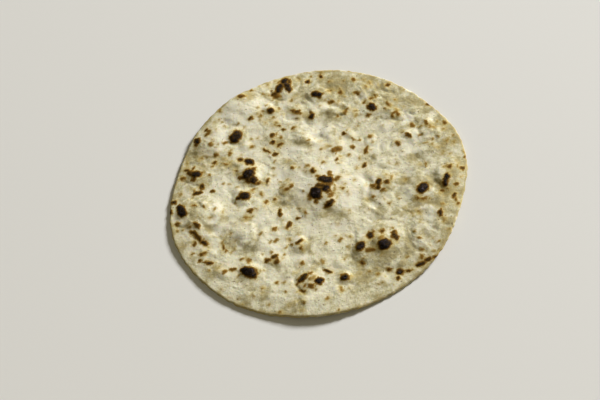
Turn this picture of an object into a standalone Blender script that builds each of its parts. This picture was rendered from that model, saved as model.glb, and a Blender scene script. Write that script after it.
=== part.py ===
"""A tandoori roti: one round, thin, blistered flatbread, lying on a flat surface.

The bread is one open sheet, its underside, which lies flat where it rests and lifts in soft
waves elsewhere. Solidify grows the dough upwards from it, thicker where a blister has risen
and thinner at the rim. Run it with: blender --background --python part.py
"""

import math
import random

import bmesh
import bpy
import numpy as np

MM = 0.001
NAME = "roti"
COLLECTION_NAME = "tandoori_roti"

# The outline: a hand-stretched circle. Each wobble is (waves round the rim, height mm, phase deg).
BREAD_RADIUS = 110.2 * MM
OUTLINE_WOBBLES = (
    (2, 0.2, 126.0),
    (3, 0.5, -66.0),
    (4, 0.7, 21.0),
    (5, 0.3, -13.0),
    (6, 0.7, 20.0),
    (8, 0.4, -31.0),
)

# The dough and its rim.
DOUGH_THICKNESS = 3.0 * MM
THINNEST_DOUGH = 1.5 * MM
RIM_BAND = 16.0 * MM
RIM_THINNING = 0.9 * MM
RIM_RELIEF_SHARE = 0.25
EDGE_WIDTH = 1.4 * MM
EDGE_LIFT = 0.5 * MM
EDGE_THICKNESS = 1.1 * MM
THICKEST_DOUGH = 9.0 * MM

# How the bread lies. Each rim lift is (direction deg, spread deg, lift mm), and each swell,
# where the whole bread is puffed off the surface, is (x mm, y mm, radius mm, lift mm).
RIM_LIFTS = (
    (8.0, 14.0, 2.2),
    (62.0, 12.0, 1.6),
    (112.0, 26.0, 4.6),
    (184.0, 16.0, 2.0),
    (214.0, 14.0, 1.4),
    (258.0, 22.0, 3.6),
    (320.0, 22.0, 5.0),
)
LIFT_STARTS_AT = 0.4
SWELLS = (
    (-47.0, -14.0, 40.0, 2.9),
    (-86.0, 7.0, 24.0, 3.2),
    (-66.0, 67.0, 22.0, 2.8),
    (-37.0, 91.0, 20.0, 2.6),
    (29.0, -66.0, 30.0, 3.4),
    (67.0, 52.0, 22.0, 2.7),
    (-46.0, 28.0, 24.0, 2.7),
    (94.0, -24.0, 20.0, 2.8),
)
CONTACT_SINK = 0.9 * MM
CONTACT_SOFTNESS = 1.2 * MM

# The broad domes, where the dough has puffed, and the blisters: (x mm, y mm, radius mm, height mm).
DOMES = (
    (7.0, -3.0, 40.0, 3.0),
    (2.0, 26.0, 30.0, 1.4),
)
BLISTERS = (
    (2.0, -7.0, 14.0, 1.5),
    (8.0, 1.0, 9.0, 0.9),
    (5.5, -19.5, 7.0, 0.9),
    (20.0, -21.0, 10.0, 1.0),
    (45.0, -15.0, 15.0, 2.3),
    (72.0, -29.0, 17.0, 2.6),
    (57.5, 55.0, 10.0, 1.5),
    (73.0, 42.0, 8.0, 1.2),
    (75.0, 71.0, 8.0, 1.1),
    (22.5, 81.5, 13.0, 2.2),
    (1.0, 98.0, 13.0, 2.0),
    (2.5, 72.0, 8.0, 1.3),
    (13.0, 63.5, 7.0, 1.4),
    (22.0, 43.0, 9.0, 1.2),
    (22.0, 26.0, 9.0, 1.2),
    (-15.8, 80.0, 7.0, 1.4),
    (-46.5, 66.0, 10.0, 2.0),
    (-44.0, 27.0, 12.0, 1.8),
    (-53.0, 9.0, 10.0, 1.9),
    (-84.0, 42.0, 10.0, 1.6),
    (-99.5, 13.0, 9.0, 1.5),
    (-91.0, -14.0, 9.0, 1.4),
    (-64.0, -56.0, 11.0, 2.2),
    (-24.0, -47.0, 10.0, 1.7),
    (-43.5, -52.0, 9.0, 1.3),
    (-30.5, -14.0, 7.0, 1.2),
    (-23.0, -77.0, 12.0, 1.9),
    (0.0, -84.0, 8.0, 1.6),
    (17.0, -62.5, 8.0, 1.2),
    (33.0, -66.5, 10.0, 1.8),
    (42.0, -62.0, 7.0, 1.0),
    (78.0, 19.0, 9.0, 1.2),
    (91.0, 21.0, 12.0, 1.3),
    (-20.0, 4.0, 7.0, 0.8),
)

# Shallow hollows between the blisters: (x mm, y mm, radius mm, depth mm).
HOLLOWS = (
    (19.0, 54.0, 9.0, 1.0),
    (37.0, 64.0, 6.0, 0.8),
    (12.0, 44.0, 6.0, 0.5),
    (-18.0, 34.0, 9.0, 0.7),
    (-31.0, -2.0, 10.0, 0.8),
    (62.0, -16.0, 8.0, 0.9),
    (77.0, -2.0, 8.0, 0.6),
    (-70.0, -28.0, 9.0, 0.8),
    (58.0, -42.0, 9.0, 0.7),
    (12.0, -76.0, 8.0, 0.7),
    (82.0, -18.0, 7.0, 0.8),
)

# Long folds of the dough: (start x, start y, end x, end y, half width, height), all in mm.
# A fold is full height at its middle and this share of it at its ends.
FOLD_END_SHARE = 0.35
FOLDS = (
    (-5.0, 53.0, 9.0, 39.0, 7.0, 1.2),
    (18.0, 69.0, 33.0, 56.0, 7.0, 1.1),
    (41.0, 66.0, 43.0, 50.0, 5.0, 0.6),
    (52.0, 74.0, 56.0, 64.0, 5.0, 0.6),
    (64.0, 70.0, 66.0, 58.0, 5.0, 0.7),
    (84.0, 62.0, 92.0, 46.0, 6.0, 0.8),
    (-69.0, -15.0, -46.0, -38.0, 10.0, 1.3),
    (37.0, 0.0, 33.0, -26.0, 4.0, -0.8),
    (33.0, -24.0, 42.0, -40.0, 4.5, -0.7),
    (52.0, -58.0, 53.0, -80.0, 4.0, -0.7),
    (58.0, -60.0, 61.0, -80.0, 4.5, 0.7),
    (82.0, -12.0, 86.0, -42.0, 5.0, -0.9),
    (-72.0, 14.0, -76.0, -8.0, 6.0, 0.7),
)

# Small blisters, scattered evenly over the rest by a seeded draw.
SMALL_BLISTER_COUNT = 70
SMALL_BLISTER_SEED = 7
SMALL_BLISTER_RADIUS = (4.5, 8.0)
SMALL_BLISTER_HEIGHT = (0.35, 0.95)
SMALL_BLISTER_SPACING = 14.0
SMALL_BLISTER_CLEARANCE = 0.8

# How far, and over what distances, the forms wander off true circles: (shift mm, wave mm, phase).
WANDER = (
    (1.3, 41.0, 0.4),
    (0.8, 23.0, 2.1),
)

# The sheet is a hexagonal lattice drawn out to the round outline, counted in rings.
RINGS = 29

CRUST_COLOUR = (0.56, 0.48, 0.31, 1.0)
CRUST_ROUGHNESS = 0.85


def clear_scene():
    """Removes whatever objects the file already holds."""
    for old in list(bpy.data.objects):
        bpy.data.objects.remove(old)


def outline_radius(angle):
    """The bread's radius in each direction: the mean radius plus the outline's wobbles."""
    radius = np.full_like(angle, BREAD_RADIUS)
    for waves, height, phase in OUTLINE_WOBBLES:
        radius += height * MM * np.cos(waves * angle - math.radians(phase))
    return radius


def smooth_step(value):
    """0 below 0, 1 above 1, and a smooth S between."""
    t = np.clip(value, 0.0, 1.0)
    return t * t * (3.0 - 2.0 * t)


def mound(distance, radius):
    """A smooth round mound: 1 in the middle, 0 at its radius and beyond."""
    q = np.clip(distance / radius, 0.0, 1.0)
    return (1.0 - q * q) ** 2


def wander(x, y):
    """Shifts each place a little, in two crossed waves, so that no form is a true circle."""
    shift_x = np.zeros_like(x)
    shift_y = np.zeros_like(y)
    for shift, wave, phase in WANDER:
        turns = 2.0 * math.pi / (wave * MM)
        shift_x += shift * MM * np.sin(turns * y + phase)
        shift_y += shift * MM * np.sin(turns * x + 2.0 * phase)
    return x + shift_x, y + shift_y


def round_forms(x, y, forms):
    """The height of a list of round mounds, added up."""
    height = np.zeros_like(x)
    for middle_x, middle_y, radius, rise in forms:
        distance = np.hypot(x - middle_x * MM, y - middle_y * MM)
        height += rise * MM * mound(distance, radius * MM)
    return height


def fold_forms(x, y):
    """The height of the long folds: a mound across the nearest point of each fold's line."""
    height = np.zeros_like(x)
    for start_x, start_y, end_x, end_y, half_width, rise in FOLDS:
        along_x = end_x - start_x
        along_y = end_y - start_y
        length_squared = along_x**2 + along_y**2
        share = ((x / MM - start_x) * along_x + (y / MM - start_y) * along_y) / length_squared
        share = np.clip(share, 0.0, 1.0)
        near_x = (start_x + share * along_x) * MM
        near_y = (start_y + share * along_y) * MM
        taper = FOLD_END_SHARE + (1.0 - FOLD_END_SHARE) * np.sin(math.pi * share)
        distance = np.hypot(x - near_x, y - near_y)
        height += rise * MM * taper * mound(distance, half_width * MM)
    return height


def small_blisters():
    """Seeded small blisters, kept a spacing apart from each other and off the large ones."""
    draw = random.Random(SMALL_BLISTER_SEED)
    reach = BREAD_RADIUS / MM - SMALL_BLISTER_RADIUS[1]
    placed = []
    while len(placed) < SMALL_BLISTER_COUNT:
        angle = draw.uniform(0.0, 2.0 * math.pi)
        distance = reach * math.sqrt(draw.random())
        radius = draw.uniform(*SMALL_BLISTER_RADIUS)
        rise = draw.uniform(*SMALL_BLISTER_HEIGHT)
        x = distance * math.cos(angle)
        y = distance * math.sin(angle)
        near_small = any(math.hypot(x - p[0], y - p[1]) < SMALL_BLISTER_SPACING for p in placed)
        near_large = any(
            math.hypot(x - b[0], y - b[1]) < SMALL_BLISTER_CLEARANCE * b[2] for b in BLISTERS
        )
        if not near_small and not near_large:
            placed.append((x, y, radius, rise))
    return placed


def underside_height(x, y, angle, reach):
    """How far the underside is off the surface: exactly 0 where the bread touches it.

    The rim's lifts grow outwards, the swells add to them, and what stays under a small
    threshold is flat, with a soft turn between the flat and the lifted bread.
    """
    lift = np.zeros_like(x)
    for direction, spread, rise in RIM_LIFTS:
        turn = angle - math.radians(direction)
        turn = np.arctan2(np.sin(turn), np.cos(turn))
        lift += rise * MM * np.exp(-((turn / math.radians(spread)) ** 2))
    lift *= smooth_step((reach - LIFT_STARTS_AT) / (1.0 - LIFT_STARTS_AT))
    lift += round_forms(x, y, SWELLS)
    above = np.clip(lift - CONTACT_SINK, 0.0, None)
    soft_turn = above**2 / (2.0 * CONTACT_SOFTNESS)
    return np.where(above < CONTACT_SOFTNESS, soft_turn, above - CONTACT_SOFTNESS / 2.0)


def dough_thickness(x, y, from_rim):
    """The bread's thickness: the dough, its domes, hollows and folds, thinner at the rim."""
    at_x, at_y = wander(x, y)
    relief = round_forms(at_x, at_y, DOMES)
    relief += round_forms(at_x, at_y, BLISTERS)
    relief += round_forms(at_x, at_y, small_blisters())
    relief -= round_forms(at_x, at_y, HOLLOWS)
    relief += fold_forms(at_x, at_y)
    inward = smooth_step(from_rim / RIM_BAND)
    relief *= RIM_RELIEF_SHARE + (1.0 - RIM_RELIEF_SHARE) * inward
    thickness = DOUGH_THICKNESS - RIM_THINNING * (1.0 - inward) + relief
    return np.clip(thickness, THINNEST_DOUGH, THICKEST_DOUGH)


def hexagon_sheet():
    """A flat hexagon of equal triangles, RINGS to a side."""
    sheet = bmesh.new()
    bmesh.ops.create_circle(sheet, cap_ends=True, cap_tris=True, segments=6, radius=1.0)
    bmesh.ops.subdivide_edges(sheet, edges=sheet.edges[:], cuts=RINGS - 1, use_grid_fill=True)
    return sheet


def ring_places(sheet):
    """Each vertex's ring, from 0 to RINGS, and its direction, with a ring's vertices evenly spaced."""
    flat = np.array([vertex.co[:2] for vertex in sheet.verts])
    corner = next(vertex for vertex in sheet.verts if len(vertex.link_edges) == 3)
    first = math.atan2(corner.co.y, corner.co.x)
    side = math.radians(60.0)
    turn = np.mod(np.arctan2(flat[:, 1], flat[:, 0]) - first, 2.0 * math.pi)
    sector = np.minimum(np.floor(turn / side), 5)
    within = turn - sector * side
    length = np.hypot(flat[:, 0], flat[:, 1])
    towards_next = length * np.sin(within) / math.sin(side)
    towards_this = length * np.sin(side - within) / math.sin(side)
    size = towards_this + towards_next
    share = np.divide(towards_next, size, out=np.zeros_like(size), where=size > 0.5 / RINGS)
    return np.rint(size * RINGS), first + side * (sector + share)


def make_roti(collection):
    """The bread: the underside's sheet, given its dough by Solidify."""
    sheet = hexagon_sheet()
    ring, angle = ring_places(sheet)
    rim = outline_radius(angle)
    is_edge = ring > RINGS - 0.5
    reach = np.where(is_edge, 1.0, ring / (RINGS - 1) * (1.0 - EDGE_WIDTH / rim))
    radius = rim * reach
    x = radius * np.cos(angle)
    y = radius * np.sin(angle)
    x -= (x.min() + x.max()) / 2.0
    y -= (y.min() + y.max()) / 2.0
    z = underside_height(x, y, angle, reach) + np.where(is_edge, EDGE_LIFT, 0.0)
    thickness = np.where(is_edge, EDGE_THICKNESS, dough_thickness(x, y, rim - radius))

    for vertex, place in zip(sheet.verts, zip(x, y, z)):
        vertex.co = place
    bmesh.ops.recalc_face_normals(sheet, faces=sheet.faces[:])
    mesh = bpy.data.meshes.new(NAME)
    sheet.to_mesh(mesh)
    sheet.free()
    if mesh.polygons[0].normal.z < 0.0:
        mesh.flip_normals()

    bread = bpy.data.objects.new(NAME, mesh)
    collection.objects.link(bread)
    dough = bread.vertex_groups.new(name="dough")
    for index, depth in enumerate(thickness):
        dough.add([index], float(depth / THICKEST_DOUGH), "REPLACE")

    solidify = bread.modifiers.new("dough", "SOLIDIFY")
    solidify.thickness = THICKEST_DOUGH
    solidify.offset = 1.0
    solidify.vertex_group = dough.name
    mesh.shade_smooth()
    return bread


def crust_material():
    """Pale baked dough: matt, cream."""
    material = bpy.data.materials.new("baked_dough")
    material.use_nodes = True
    shader = material.node_tree.nodes["Principled BSDF"]
    shader.inputs["Base Color"].default_value = CRUST_COLOUR
    shader.inputs["Roughness"].default_value = CRUST_ROUGHNESS
    shader.inputs["Metallic"].default_value = 0.0
    material.diffuse_color = CRUST_COLOUR
    return material


def main():
    clear_scene()
    collection = bpy.data.collections.new(COLLECTION_NAME)
    bpy.context.scene.collection.children.link(collection)
    bread = make_roti(collection)
    bread.data.materials.append(crust_material())


main()
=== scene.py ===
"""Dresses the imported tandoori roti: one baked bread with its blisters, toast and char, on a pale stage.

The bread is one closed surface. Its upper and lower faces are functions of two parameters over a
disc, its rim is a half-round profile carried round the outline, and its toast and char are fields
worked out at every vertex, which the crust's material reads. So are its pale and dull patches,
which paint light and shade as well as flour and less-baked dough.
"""

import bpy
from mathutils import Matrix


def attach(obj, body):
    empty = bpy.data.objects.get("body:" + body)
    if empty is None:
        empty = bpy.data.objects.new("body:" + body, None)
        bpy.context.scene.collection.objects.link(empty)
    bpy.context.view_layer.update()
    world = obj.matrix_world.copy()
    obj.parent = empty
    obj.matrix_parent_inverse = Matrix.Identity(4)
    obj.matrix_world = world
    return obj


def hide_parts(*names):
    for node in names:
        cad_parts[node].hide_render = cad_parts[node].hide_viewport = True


bl_info = {
    "name": "Tandoori roti",
    "version": (1, 0, 0),
    "blender": (4, 5, 0),
    "location": "3D View > Sidebar > Roti",
    "description": "Makes a blistered, charred tandoori roti and a plain stage for it",
    "category": "Add Mesh",
}

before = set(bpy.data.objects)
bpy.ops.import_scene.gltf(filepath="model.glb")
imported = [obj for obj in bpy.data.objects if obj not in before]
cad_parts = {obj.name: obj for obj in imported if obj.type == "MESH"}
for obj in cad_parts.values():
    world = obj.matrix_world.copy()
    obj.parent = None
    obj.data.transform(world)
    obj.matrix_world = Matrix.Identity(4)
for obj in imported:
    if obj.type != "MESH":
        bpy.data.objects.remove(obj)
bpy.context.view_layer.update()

import math
import random
from types import SimpleNamespace

import bpy
import numpy as np
from bpy.props import FloatProperty, FloatVectorProperty, IntProperty, PointerProperty
from bpy.types import Operator, Panel, PropertyGroup
from mathutils import Matrix, Vector

MM = 0.001
CAD_NODE = "roti"
BODY = "root"

# ---------------------------------------------------------------- the bread's form, as in the CAD

# The outline is a circle with waves round it: (waves in a turn, height mm, phase deg). Its box is
# measured in this many steps.
OUTLINE_WOBBLES = (
    (2, 0.2, 126), (3, 0.5, -66), (4, 0.7, 21), (5, 0.3, -13), (6, 0.7, 20), (8, 0.4, -31),
)
OUTLINE_STEPS = 720

# Where the rim stands off the surface: (direction deg, spread deg, lift mm). The lift begins at
# this share of the way from the middle to the rim.
RIM_LIFTS = (
    (8, 14, 2.2), (62, 12, 1.6), (112, 26, 4.6), (184, 16, 2), (214, 14, 1.4), (258, 22, 3.6),
    (320, 22, 5),
)
LIFT_STARTS_AT = 0.4

# Where the bread stands off the surface elsewhere: (x mm, y mm, radius mm, lift mm). A lift lower
# than the sink leaves the underside flat, and the turn from flat to lifted is softened.
SWELLS = (
    (-47, -14, 40, 2.9), (-86, 7, 24, 3.2), (-66, 67, 22, 2.8), (-37, 91, 20, 2.6),
    (29, -66, 30, 3.4), (67, 52, 22, 2.7), (-46, 28, 24, 2.7), (94, -24, 20, 2.8),
)
CONTACT_SINK = 0.9 * MM
CONTACT_SOFTNESS = 1.2 * MM

# Broad domes and blisters on the upper face: (x mm, y mm, radius mm, height mm).
DOMES = (
    (7, -3, 40, 3), (2, 26, 30, 1.4),
)
BLISTERS = (
    (2, -7, 14, 1.5), (8, 1, 9, 0.9), (5.5, -19.5, 7, 0.9), (20, -21, 10, 1), (45, -15, 15, 2.3),
    (72, -29, 17, 2.6), (57.5, 55, 10, 1.5), (73, 42, 8, 1.2), (75, 71, 8, 1.1),
    (22.5, 81.5, 13, 2.2), (1, 98, 13, 2), (2.5, 72, 8, 1.3), (13, 63.5, 7, 1.4), (22, 43, 9, 1.2),
    (22, 26, 9, 1.2), (-15.8, 80, 7, 1.4), (-46.5, 66, 10, 2), (-44, 27, 12, 1.8),
    (-53, 9, 10, 1.9), (-84, 42, 10, 1.6), (-99.5, 13, 9, 1.5), (-91, -14, 9, 1.4),
    (-64, -56, 11, 2.2), (-24, -47, 10, 1.7), (-43.5, -52, 9, 1.3), (-30.5, -14, 7, 1.2),
    (-23, -77, 12, 1.9), (0, -84, 8, 1.6), (17, -62.5, 8, 1.2), (33, -66.5, 10, 1.8),
    (42, -62, 7, 1), (78, 19, 9, 1.2), (91, 21, 12, 1.3), (-20, 4, 7, 0.8),
)

# Hollows in the upper face: (x mm, y mm, radius mm, depth mm).
HOLLOWS = (
    (19, 54, 9, 1), (37, 64, 6, 0.8), (12, 44, 6, 0.5), (-18, 34, 9, 0.7), (-31, -2, 10, 0.8),
    (62, -16, 8, 0.9), (77, -2, 8, 0.6), (-70, -28, 9, 0.8), (58, -42, 9, 0.7), (12, -76, 8, 0.7),
    (82, -18, 7, 0.8),
)

# Long folds: (start x, start y, end x, end y, half width, height), all in mm. At its ends a fold
# has this share of its height.
FOLDS = (
    (-5, 53, 9, 39, 7, 1.2), (18, 69, 33, 56, 7, 1.1), (41, 66, 43, 50, 5, 0.6),
    (52, 74, 56, 64, 5, 0.6), (64, 70, 66, 58, 5, 0.7), (84, 62, 92, 46, 6, 0.8),
    (-69, -15, -46, -38, 10, 1.3), (37, 0, 33, -26, 4, -0.8), (33, -24, 42, -40, 4.5, -0.7),
    (52, -58, 53, -80, 4, -0.7), (58, -60, 61, -80, 4.5, 0.7), (82, -12, 86, -42, 5, -0.9),
    (-72, 14, -76, -8, 6, 0.7),
)
FOLD_END_SHARE = 0.35

# Seeded small blisters. Radius, height and spacing are in mm, and the clearance is a share of the
# large blister's radius.
SMALL_BLISTER_COUNT = 70
SMALL_BLISTER_SEED = 7
SMALL_BLISTER_RADIUS = (4.5, 8.0)
SMALL_BLISTER_HEIGHT = (0.35, 0.95)
SMALL_BLISTER_SPACING = 14.0
SMALL_BLISTER_CLEARANCE = 0.8

# Two crossed waves that bend every form a little: (shift mm, wave mm, phase).
WANDER = ((1.3, 41.0, 0.4), (0.8, 23.0, 2.1))

# ---------------------------------------------------------------- what the fire left on it, with painted light and shade

# The places in the tables below are where things on the upper face stand before a level plane at
# this height, for someone who looks down on it from the front at this angle.
TABLE_LEVEL = 3.6 * MM
TABLE_ELEVATION = math.radians(53.86)

# Each mark is (x, y, length, width, turn): its middle and size in mm, and its long axis in degrees.
CHARRED = (
    (-47, 65.5, 13, 9, 65), (-76, 72.5, 6.5, 4.8, 80), (-78, 69.3, 3, 2.5, 0),
    (-83, 42, 8.4, 6.4, -20), (-89.3, 48.4, 4.2, 3.2, -30), (-86.6, 45.6, 4.5, 2.4, -50),
    (-42.3, 38.6, 8.5, 6, -45), (-48.3, 43.2, 3.6, 3, -40), (-45.7, 28, 11, 8.8, 25),
    (-41.3, 31, 4.5, 3, 10), (-51, 26.8, 4, 3.2, 0), (-42.8, 20.4, 7, 5.6, 80),
    (-39.8, 16.8, 4.2, 2.6, -30), (-52.5, 9.5, 9, 7.6, -40), (-57.3, 9.2, 4, 3.2, 20),
    (-81.4, 29.2, 5.2, 4, 80), (-85.7, 24.8, 7.6, 4, -12), (-74.3, 22, 3.6, 2.6, -40),
    (-100.2, 13.2, 12, 6.8, -78), (-109.6, 15.5, 6.5, 4.6, 85), (-104.5, 22.8, 5.4, 3.6, -20),
    (-91.6, -3.4, 7.4, 3, -68), (-89.9, -20.9, 6, 4.2, -50), (-96.8, -18.8, 4.8, 2.4, 80),
    (-77.2, -29, 4.2, 2.4, 80), (-90.5, -38.4, 8.6, 3.2, -24), (-63.8, -56.3, 14, 8.4, -48),
    (-60.4, -61, 4, 3, -70), (-49, -51.3, 4.4, 3.7, 0), (-43.3, -50, 4.4, 3.4, 0),
    (-51.4, -4.9, 5.4, 3, 15), (1, 104.8, 6.6, 6, 30), (1.9, 98.6, 12.5, 5.4, 96),
    (-4.6, 99, 10.8, 5.4, 54), (4.6, 103, 4.6, 3, 100), (-31.8, 78.6, 4.2, 4, 0),
    (-15.6, 80.2, 5.8, 4.6, 85), (-20.2, 56.6, 3.8, 3.4, 0), (-21.3, 50.1, 3.6, 3.3, 0),
    (-16.9, 45.8, 4.6, 2.8, 30), (-27.3, 43.6, 7.4, 2.2, -65), (-21.9, 38, 4.2, 3.6, 90),
    (12.8, 63.2, 5.6, 4.4, 65), (21.8, 82.4, 9.2, 5.6, -24), (23, 79.2, 3.8, 3, 0),
    (18.2, 97.6, 4.2, 3.8, 0), (29.2, 98.4, 4.2, 3.4, 80), (38.2, 4.4, 4.2, 3, 60),
    (1.3, 13.4, 5.2, 3.6, 85), (-31.3, -15.6, 4.8, 3.2, 85), (-30.6, -12.4, 4.4, 2.8, 80),
    (-27.3, -27.2, 6.4, 3.2, 50), (-2.1, -6.9, 11.6, 9, 85), (-0.5, -11.6, 4.6, 3.6, 60),
    (5.8, -5.2, 7.4, 6.6, 20), (7.4, -8.6, 3.6, 3.2, 0), (2.6, -3.8, 4.4, 3, 0),
    (7.6, 2.4, 12, 6.2, -28), (10.8, -0.6, 5, 4.2, 0), (5.6, -19.6, 8.2, 5, 30),
    (-23.4, -43.8, 6.2, 3.2, 30), (-28.6, -74.4, 9.4, 4.8, 34), (-18, -80.5, 7, 6.4, 80),
    (-10.5, -75, 6.6, 2.8, -36), (0, -83.8, 6.6, 6.2, 0), (16.8, -62.5, 9.2, 5.8, 48),
    (26, -56.2, 6, 5.4, 75), (33.5, -66.8, 10, 9.2, 20), (37.6, -92.6, 5.6, 5, 0),
    (34.6, -97.2, 4.2, 3, 60), (57.9, 54.9, 8.6, 6.2, 105), (44, -13.6, 6.8, 5, 62),
    (42.2, -17.4, 4.6, 3.8, 40), (49.8, -15.5, 4, 3.6, 45), (72.7, -29.6, 10.6, 8, 40),
    (90.5, -29, 12.6, 4, 65), (88.8, -32.4, 6, 4.8, 70), (78.3, -54.8, 7.6, 3, 65),
    (53, -91.6, 7.6, 4.2, 12), (58.8, -89.6, 5.6, 3.6, 0), (66.2, -89.4, 8, 2.8, 8),
)
BROWN = (
    (-93.7, -13, 13, 3.4, -66), (-96, -8.4, 4.4, 2.8, -20), (9.6, -1.6, 9, 6, 30),
    (-45.4, 23.6, 12, 7.6, -65), (-85.2, 43.6, 12, 5.6, -40), (3, -1.6, 9, 4, -10),
    (-9.6, 94.8, 6.4, 3.6, 10), (-1.6, 102.6, 6, 4, 40), (-3.2, -14.2, 5, 2.6, 80),
    (-67.4, 80.4, 3.6, 3, 0), (-66, 78.4, 3.2, 2.8, 0), (-67.9, 76, 3, 2.2, 30),
    (-55.8, 62.8, 3.6, 2.6, 0), (-64.7, 54.3, 3.6, 3.4, 0), (-55, 51.4, 3.6, 3.2, 60),
    (-67.5, 47.6, 3.6, 3.2, 0), (-70.4, 44.8, 2.6, 2, -30), (-60, 43.2, 4.8, 2.2, -35),
    (-84.4, 48, 3.2, 2.4, 60), (-78.6, 42.6, 3.4, 1.8, 0), (-93.8, 41.8, 4.2, 3.6, 0),
    (-86.2, 38.4, 4.8, 3.2, 0), (-45, 12.8, 3.6, 3, 60), (-55.7, -9.6, 3.8, 2.6, -45),
    (-38.1, -1.5, 3.6, 2.8, 20), (-105.4, 2.5, 4.6, 3, 0), (-90.5, 14.6, 4.2, 2.5, -25),
    (-83, 11.2, 3.6, 2.4, 100), (-75.8, 6.3, 2, 1.5, 90), (-92.8, -29.7, 5, 2.2, 10),
    (-95.3, -34.8, 3.2, 2.2, 0), (-76.1, -33, 2.6, 2, 0), (-38.2, -27.2, 3.4, 3.2, 0),
    (-61.9, -46.8, 5, 3.6, 100), (-74.5, -50.1, 6, 2.5, -10), (-80.6, -49.8, 4.4, 2.6, 0),
    (-42.9, -54.3, 4.4, 3.4, 80), (-10.1, 95.4, 3.8, 3, 20), (-25.8, 105.2, 3.8, 2.5, 0),
    (-34, 102.4, 6.4, 3.2, -20), (-13.3, 63.5, 3, 2.6, 0), (-10.8, 59.1, 2.9, 2.6, 0),
    (-3.1, 57.4, 3.2, 2.9, 0), (-14.6, 52.4, 3.2, 2.4, 70), (0.5, 73.4, 4, 3.6, 0),
    (3.4, 71.4, 4.6, 4, 0), (5.2, 68.8, 3, 2.2, -60), (12.4, 66.9, 2.4, 2, 90),
    (30.2, 71, 5.8, 3.4, -15), (39.5, 77.5, 3.6, 2.6, 80), (38.2, 58.2, 6.4, 3, 65),
    (31.5, 56, 3, 2.2, 80), (31.6, 38.3, 3.2, 2.3, 60), (22.5, 26, 8.6, 6, -5),
    (-12.3, 21.3, 3.2, 2, 20), (-33.4, 16, 5.8, 2, 70), (20.2, 17, 2.6, 2, 60),
    (34.4, 23.8, 3, 2.7, 0), (-21.3, 4, 4.4, 3.8, 0), (-17.8, 5.8, 4.8, 3, 60),
    (-31.6, -1.6, 2.6, 2.4, 0), (-19.6, -23.7, 3.8, 2.2, -30), (-9.4, -2.4, 1.7, 1.2, 90),
    (-3.1, -15.4, 4.8, 2.8, 80), (-7, -8.6, 6.4, 3, 80), (3.2, 6.8, 4, 2.8, -50),
    (12.2, 5.6, 6.2, 2.8, 105), (16.4, 0.2, 6.6, 3, 20), (17.7, -9.5, 2.2, 2, 0),
    (2.3, -22, 2.8, 2.2, 20), (39.2, -15.3, 4.6, 3.8, 0), (45.2, -21.6, 4, 3.4, 0),
    (-29.5, -44, 2.7, 2.4, 0), (-23.3, -49.8, 3.4, 2.8, 90), (5.2, -52.8, 3.5, 2.8, 45),
    (-26, -62, 3.6, 3, 90), (-22.6, -72, 4.2, 2.2, 10), (-33, -78, 3.4, 2, 45),
    (-24, -82.7, 5.2, 4, 10), (-28.5, -80.4, 2.8, 2, 30), (22.6, -68.2, 7.6, 4.4, -12),
    (34.8, -56, 3.8, 3.4, 0), (14.5, -77, 3.4, 3, 80), (30.8, -88.8, 4.2, 3.6, 80),
    (-31.6, -84.4, 5.4, 2, -30), (-5, -92.2, 4, 3, 90), (52.2, 86, 3.8, 2.8, 110),
    (62.8, 78.3, 3.2, 2.7, 60), (75.2, 71, 3.6, 3.3, 0), (50.8, 72, 4.4, 3.8, -60),
    (59.6, 63, 3.4, 2.4, 0), (62.8, 63.8, 3.8, 2.6, 80), (54.2, 61, 2.7, 2, 80),
    (53.8, 47.8, 4.4, 3.8, 0), (72.6, 43.4, 6.2, 2.8, 10), (70.2, 40.6, 4.2, 2, 100),
    (74.2, 40.8, 4.6, 2.8, 100), (99, 41.8, 3.8, 2.8, 0), (41, 28, 2.6, 2.2, 0),
    (43.2, 17, 7.2, 2.8, 65), (66.8, 14.3, 5, 4, 85), (76.7, 19, 6.2, 2.8, -70),
    (81.8, 27.3, 4.2, 3.2, -60), (92, 24.6, 6.4, 2.8, 85), (104.7, 20.6, 4.2, 2.8, -60),
    (109.9, -14.5, 3.2, 2.4, 20), (104.3, -23.6, 3.4, 3, 0), (81, -11, 5.2, 2, 80),
    (96, -19, 4.4, 3.2, 25), (96.3, -35.3, 4.2, 3, 35), (85.4, -37.6, 4.2, 2.8, 0),
    (70.3, -39.5, 5.4, 3.4, -15), (66.5, -37.4, 3.4, 2.6, 0), (91.8, -44.2, 5.8, 3.4, 60),
    (91.9, -48.2, 2.7, 2.3, 0), (92.5, -52, 3.2, 2.8, 0), (42.4, -62.4, 9.6, 4.8, 98),
    (58, -70.2, 3.5, 2.6, -25), (57, -80.5, 4.2, 2.8, 0), (54.8, -86.4, 4.6, 3.2, 80),
    (43.6, -94, 5.2, 2.8, 0), (-10.4, 99.3, 2.6, 2, 0), (51.2, 95.6, 2.2, 1.4, -30),
)
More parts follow.
